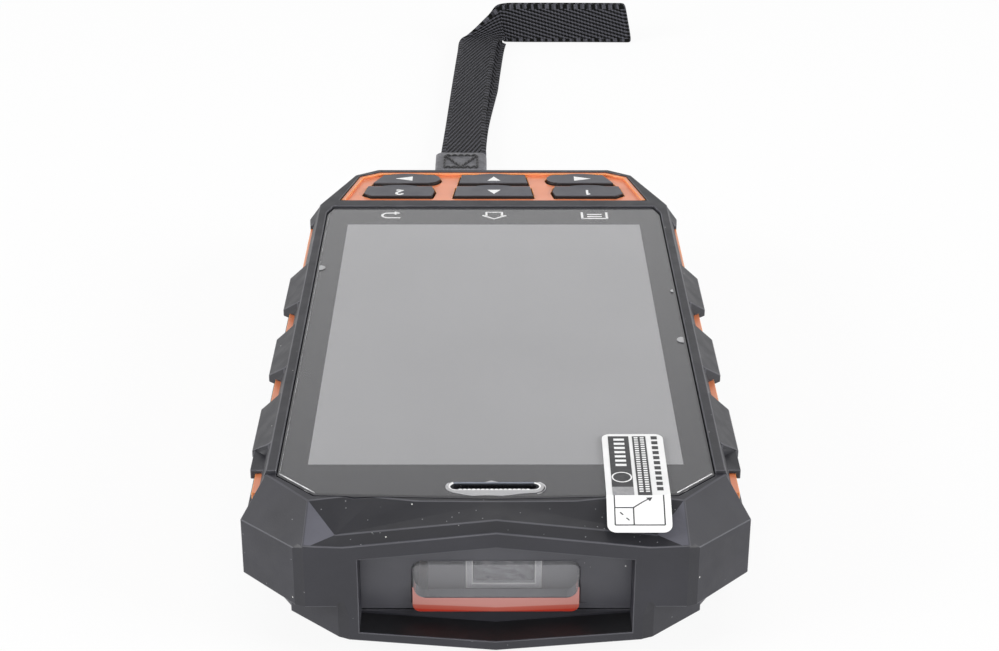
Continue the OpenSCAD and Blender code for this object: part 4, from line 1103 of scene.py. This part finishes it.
def peel_lines(path):
    """Lines of a plain frame with a turned-up corner, a dashed fold and an arrow."""
    rest = path.length - path.bend
    a, b = TAB_FRAME
    near, fold, fold_x = rest * 0.84, rest * 0.43, a + 2.5
    tip = (fold_x + 2.1, rest * 0.2)
    lines = [[(a, 0.3), (a, near)], [(b, 0.3), (b, near)], [(a, near), (b, near)],
             [(a, fold), (fold_x, fold)], [(fold_x, fold), (fold_x, near)], [(fold_x, fold), tip],
             [(a + 0.7, rest * 0.54), (a + 1.1, rest * 0.6)],
             [(a + 1.5, rest * 0.67), (a + 1.9, rest * 0.73)]]
    point = Vector((path.x[0] + tip[0] + 0.5, path.bend + tip[1] - 0.25))
    arrow = ([point, point + Vector((-0.85, 0.05))], [point, point + Vector((-0.35, 0.75))])
    return [path.line_of(line) for line in lines] + [arrow]


def make_tab():
    """The white pull tab with plain printed blocks, marks, a ring and a peeling corner."""
    path = TabPath()
    body = path.strip((0, path.x[1] - path.x[0]), 0, path.length, TAB_CORNER, TAB_ROWS)
    sheet = add_print("film_pull_tab_sheet", [body], path.at, CASE, "tab_white", "tab_white", 4, TAB_T)
    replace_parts(sheet, "film_pull_tab")
    start, end = TAB_MARGIN[0], path.bend - TAB_MARGIN[1]
    fade = end - TAB_FADE
    dark = [path.strip(TAB_BLOCK, start, fade), path.strip(TAB_MARK_GROUND, start, end)]
    dark += path.rows(TAB_BARS, start, end, *BAR_ROW) + peel_lines(path)
    grey = [path.strip(TAB_BLOCK, fade, end)]
    disc = [path.ring(RING[1], 0.02)]
    pale = path.rows(TAB_INNER, start + 0.7, path.bend * RING_SHARE - 2, *INNER_ROW) + [path.ring(*RING)]
    for columns in TAB_ROWS_OF_MARKS:
        pale += path.rows(columns, start + 0.3, end, *MARK_ROW)
    prints = [("dark", dark, "print_dark", UNDER_INK), ("grey", grey, "print_grey", UNDER_INK),
              ("ring_ground", disc, "print_dark", OVER_INK), ("pale", pale, "print_white", OVER_INK)]
    for name, strips, look, lift in prints:
        rise = Vector((0, 0, TAB_T + lift))
        add_print("tab_print_" + name, strips, lambda x, s: path.at(x, s) + rise, CASE, "tab_white", look, 2)


make_glass()
make_film()
make_bubbles()
make_icons()
make_tab()


# Earpiece

EAR_X = (-6.2, 5.85)
EAR_Y = (-56.2, -54.5)
TOOTH_FIRST = -4.82
TOOTH_PITCH = 0.608
TOOTH_COUNT = 16
TOOTH_R = 0.25
TOOTH_IN = 0.05
TOOTH_LIFT = (0.03, 0.13)
RIM_STEPS = 160
RIM_PALE = 0.22          # width of the pale lip round the opening
RIM_LIFT = (0.02, 0.1, 0.14)     # heights of its foot, its edge and its crest over the glass
RIM_END = 0.65
RIM_FAR = 0.28
RIM_NEAR = 0.85          # what the near edge adds to the rim's width, with small waves
RIM_WAVE = 0.07
RIM_TAPER = (3, 5)       # lengths over which that runs out to the left and to the right
BUMP_X = -0.6            # a small bump in the far edge
BUMP_OUT = 0.4
BUMP_W = 0.6
LIP_OUT = (-0.4, 0.05)   # the shade lip's two edges, from the opening's outline: a dark sheet painted as shade round the slot
LIP_LIFT = (0.01, 0.03)
WIRE_R = 0.13
WIRE_PITCH = 0.5


def slot_point(share, out):
    """A point on the earpiece opening's outline, a share of the way round it and pushed out from it."""
    radius = (EAR_Y[1] - EAR_Y[0]) / 2
    x, y = sum(EAR_X) / 2, sum(EAR_Y) / 2
    straight, bend = EAR_X[1] - EAR_X[0] - 2 * radius, math.pi * radius
    half, rest = divmod((share % 1) * 2 * (straight + bend), straight + bend)
    way = 1 - 2 * half
    if rest < straight:
        return Vector((x + way * (rest - straight / 2), y - way * (radius + out)))
    turn = (rest - straight) / radius - math.pi / 2
    reach = straight / 2 + (radius + out) * math.cos(turn)
    return Vector((x + way * reach, y + way * (radius + out) * math.sin(turn)))


def rim_width(p):
    """Width of the film's lifted rim: wide along the opening's near edge, thin along its far one."""
    if p.y < EAR_Y[0] + 0.3:
        left, right = (p.x - EAR_X[0]) / RIM_TAPER[0], (EAR_X[1] - p.x) / RIM_TAPER[1]
        taper = min(max(left, 0), 1) * min(max(right, 0), 1)
        return RIM_END + RIM_NEAR * taper + RIM_WAVE * math.sin(p.x * 1.3)
    if p.y > EAR_Y[1] - 0.2:
        return RIM_FAR + BUMP_OUT * math.exp(-((p.x - BUMP_X) / BUMP_W) ** 2)
    return RIM_END


def make_rim(top, shares):
    """The film's pale lifted rim round the earpiece."""
    edge = [slot_point(s, 0) for s in shares]
    widths = [rim_width(p) for p in edge]
    none, pale = [0] * RIM_STEPS, [RIM_PALE] * RIM_STEPS
    foot, side, crest = RIM_LIFT
    section = ((none, foot), (none, side), (pale, crest), (widths, side), (widths, foot), (none, foot))
    rings = []
    for outs, lift in section:
        rings.append([Vector((*slot_point(s, out), top + lift)) for s, out in zip(shares, outs)])
    mesh = mesh_of("earpiece_rim", *loft(rings, closed=False), False)
    for i, face in enumerate(mesh.polygons):
        level, k = divmod(i, RIM_STEPS)
        far = edge[k].y > EAR_Y[1] - 0.05
        bump = abs(edge[k].x - BUMP_X) < 0.9 and level > 1
        face.material_index = 2 if far and not bump else 1 if level < 2 else 0
    new_object("earpiece_rim", mesh, CASE, "film_clear", "film_lifted", "print_white", "film_shade")


def make_earpiece():
    """The opening's rim, the row of teeth on it, and under it a dark lip that paints shade round the slot's
    edge.
    """
    top = high("touch_glass").z
    shares = [i / RIM_STEPS for i in range(RIM_STEPS)]
    make_rim(top, shares)
    teeth = []
    for i in range(TOOTH_COUNT):
        outline = arc((TOOTH_FIRST + i * TOOTH_PITCH, EAR_Y[0] - TOOTH_IN), TOOTH_R, 0, 180, 8)
        teeth.append([[Vector((*p, top + lift)) for p in outline] for lift in TOOTH_LIFT])
    add_skin("earpiece_teeth", join_lofts(teeth), "film_clear", "print_white")
    (inner, outer), (under, over) = LIP_OUT, LIP_LIFT
    section = ((inner, under), (inner, over), (outer, over), (outer, under), (inner, under))
    lip = [[Vector((*slot_point(s, out), top + lift)) for s in shares] for out, lift in section]
    # a dark sheet as painted shade round the slot's edge
    add_skin("earpiece_shade_lip", loft(lip, closed=False), "mesh_black", "mesh_black", False)


def make_earpiece_mesh():
    """The woven mesh in the earpiece's slot."""
    lo, hi = low("earpiece_mesh"), high("earpiece_mesh")
    z = hi.z - 2 * WIRE_R
    radius = (hi.y - lo.y) / 2
    straight = (hi.x - lo.x) / 2 - radius
    middle = (lo + hi) / 2
    parts = []
    for i in range(int((hi.x - lo.x) / WIRE_PITCH)):
        x = lo.x + WIRE_PITCH * (i + 0.5)
        over = max(abs(x - middle.x) - straight, 0)
        half = math.sqrt(max(radius ** 2 - over ** 2, 0.04)) - 0.05
        line = [Vector((x, middle.y + half * k / 6, z + WIRE_R * (-1) ** (i + k))) for k in range(-6, 7)]
        parts.append(tube(line, WIRE_R, 6))
    for j in range(-2, 3):
        y = j * WIRE_PITCH * 0.8
        half = straight + math.sqrt(radius ** 2 - y ** 2) - 0.1
        line = [Vector((middle.x + end * half, middle.y + y, z)) for end in (-1, 1)]
        parts.append(tube(line, WIRE_R, 6))
    wires = add_skin("earpiece_mesh_wires", join_lofts(parts), "mesh_black", "mesh_black")
    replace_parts(wires, "earpiece_mesh")


make_earpiece()
make_earpiece_mesh()


# Scan engine's lens and lamp, seen through the window

LENS_PLACE = (-1.2, 9.8)
LENS = [(2.2, 3.9), (2.2, 1.4), (1.9, 1.2), (1.5, 1.35), (1.0, 1.15), (0.3, 1.05)]    # radii and depths
LAMP_PLACE = (2.6, 9.8)
LAMP = [(1.0, 3.9), (1.0, 2.0), (0.8, 1.7), (0.3, 1.5)]
ENGINE_EDGE = 0.15
NOSE_L = 1.0
NOSE_DEEP = 2.9
PANE_HALF = 4.2
PANE_Z = (7.3, 13.1)
PANE_CORNER = 0.4
PANE_STEPS = [(0.9, 1.0), (0.7, 1.0), (0.62, 0.98)]    # depths behind the front, and shares of the size


def turned_part(name, x, y, z, profile, look):
    """A round part about a line along Y, from its radii and depths."""
    rings = []
    for radius, depth in profile:
        turns = [math.pi * k / 16 for k in range(32)]
        rings.append([Vector((x + radius * math.cos(t), y + depth, z + radius * math.sin(t))) for t in turns])
    add_skin(name, loft(rings), look, look)


def make_engine():
    """The scan engine: a dark block with a pale frame round its front opening, lens, lamp and pane."""
    front = low("scan_engine").y
    middle = (low("scan_engine").x + high("scan_engine").x) / 2
    shape = solid_of("scan_engine")
    round_edges(shape, ENGINE_EDGE, lambda e: all(v.co.y < (front + NOSE_L / 2) * MM for v in e.verts))

    def nose_face(face):
        depth = face.calc_center_median().y / MM - front
        facing = abs(face.normal.y) > 0.9
        return depth < NOSE_DEEP and not (facing and depth > NOSE_L / 2)

    mark(shape, 2, nose_face)
    finished("scan_engine", shape, "engine_dark", "engine_edge", "engine_white")
    turned_part("engine_lens", middle + LENS_PLACE[0], front, LENS_PLACE[1], LENS, "lens_dark")
    turned_part("engine_lamp", middle + LAMP_PLACE[0], front, LAMP_PLACE[1], LAMP, "engine_white")
    make_engine_pane(middle, front)


def make_engine_pane(middle, front):
    """A clouded pane in the front opening."""
    bottom, top = PANE_Z
    outline = rounded_outline(2 * PANE_HALF, top - bottom, PANE_CORNER)
    rings = [[Vector((middle + x * share, front + depth, (bottom + top) / 2 + z * share)) for x, z in outline]
             for depth, share in PANE_STEPS]
    add_skin("engine_pane", loft(rings), "window_clear", "engine_glass")


make_engine()


# Looks of the CAD pieces that stay

for node, piece in NODES.items():
    piece.data.materials.clear()
    piece.data.materials.append(LOOKS[SLOT_OF[node]])


# Floor, light and output

FLOOR_HALF = 4000
FLOOR_DROP = 0.15
FLOOR_GREY = (0.86, 0.86, 0.86, 1)
WHITE_SHARE = 0.9
SKY_LEVEL = 0.55
CEILING_LEVEL = 0.2
CEILING_FROM = 0.4      # height of a direction where the surroundings start to darken
CEILING_FULL = 0.95
LAMPS = [("top_softbox", (0, 250, 900), 700, 2.8), ("left_softbox", (-800, -300, 340), 500, 6.0),
         ("right_softbox", (800, -300, 340), 500, 6.2), ("front_softbox", (0, -1100, 250), 600, 3.0)]
LAMP_AIM = Vector((0, 20, 10))


def seen_directly(tree):
    """One for rays that the camera sees, straight or through gloss and glass, and zero for others."""
    rays = add_node(tree, "ShaderNodeLightPath").outputs
    total = rays["Is Camera Ray"]
    for name in ("Is Glossy Ray", "Is Transmission Ray"):
        total = add_node(tree, "ShaderNodeMath", {0: total, 1: rays[name]}, operation="MAXIMUM").outputs[0]
    return total


def make_floor():
    """A pale floor that the camera sees as nearly white, with a soft shadow, and that is open from below."""
    half = FLOOR_HALF
    corners = [(x, y, -FLOOR_DROP) for x, y in ((-half, -half), (half, -half), (half, half), (-half, half))]
    mesh = bpy.data.meshes.new("floor")
    mesh.from_pydata([Vector(c) * MM for c in corners], [], [(0, 1, 2, 3)])
    floor = bpy.data.objects.new("floor", mesh)
    bpy.context.scene.collection.objects.link(floor)
    look = Look("floor", Base_Color=FLOOR_GREY, Roughness=0.9, Specular_IOR_Level=0.0)
    share = look.math("MULTIPLY", seen_directly(look.tree), WHITE_SHARE)
    glow = look.node("ShaderNodeEmission").outputs[0]
    top = look.node("ShaderNodeMixShader", {0: share, 1: look.shader.outputs[0], 2: glow}).outputs[0]
    under = look.node("ShaderNodeNewGeometry").outputs["Backfacing"]
    nothing = look.node("ShaderNodeBsdfTransparent").outputs[0]
    both = look.node("ShaderNodeMixShader", {0: under, 1: top, 2: nothing}).outputs[0]
    look.tree.links.new(both, look.tree.nodes["Material Output"].inputs["Surface"])
    mesh.materials.append(look.material)


def make_sky():
    """White surroundings with a darker ceiling, which light the object softly."""
    world = bpy.data.worlds.new("surroundings")
    world.use_nodes = True
    bpy.context.scene.world = world
    tree = world.node_tree
    background = tree.nodes["Background"].inputs
    background["Color"].default_value = (1, 1, 1, 1)
    direct = {"Value": seen_directly(tree), "To Min": SKY_LEVEL, "To Max": 1.0}
    level = add_node(tree, "ShaderNodeMapRange", direct).outputs[0]
    direction = add_node(tree, "ShaderNodeTexCoord").outputs["Generated"]
    height = add_node(tree, "ShaderNodeSeparateXYZ", {0: direction}).outputs["Z"]
    darker = {"Value": height, "From Min": CEILING_FROM, "From Max": CEILING_FULL, "To Min": 1.0,
              "To Max": CEILING_LEVEL}
    ceiling = add_node(tree, "ShaderNodeMapRange", darker).outputs[0]
    strength = add_node(tree, "ShaderNodeMath", {0: level, 1: ceiling}, operation="MULTIPLY").outputs[0]
    tree.links.new(strength, background["Strength"])


def make_lamps():
    for name, place, size, power in LAMPS:
        data = bpy.data.lights.new(name, "AREA")
        data.shape = "SQUARE"
        data.size = size * MM
        data.energy = power
        lamp = bpy.data.objects.new(name, data)
        aim = LAMP_AIM - Vector(place)
        lamp.location = Vector(place) * MM
        lamp.rotation_mode = "QUATERNION"
        lamp.rotation_quaternion = aim.to_track_quat("-Z", "Y")
        bpy.context.scene.collection.objects.link(lamp)


make_floor()
make_sky()
make_lamps()
bpy.context.scene.view_settings.view_transform = "Standard"
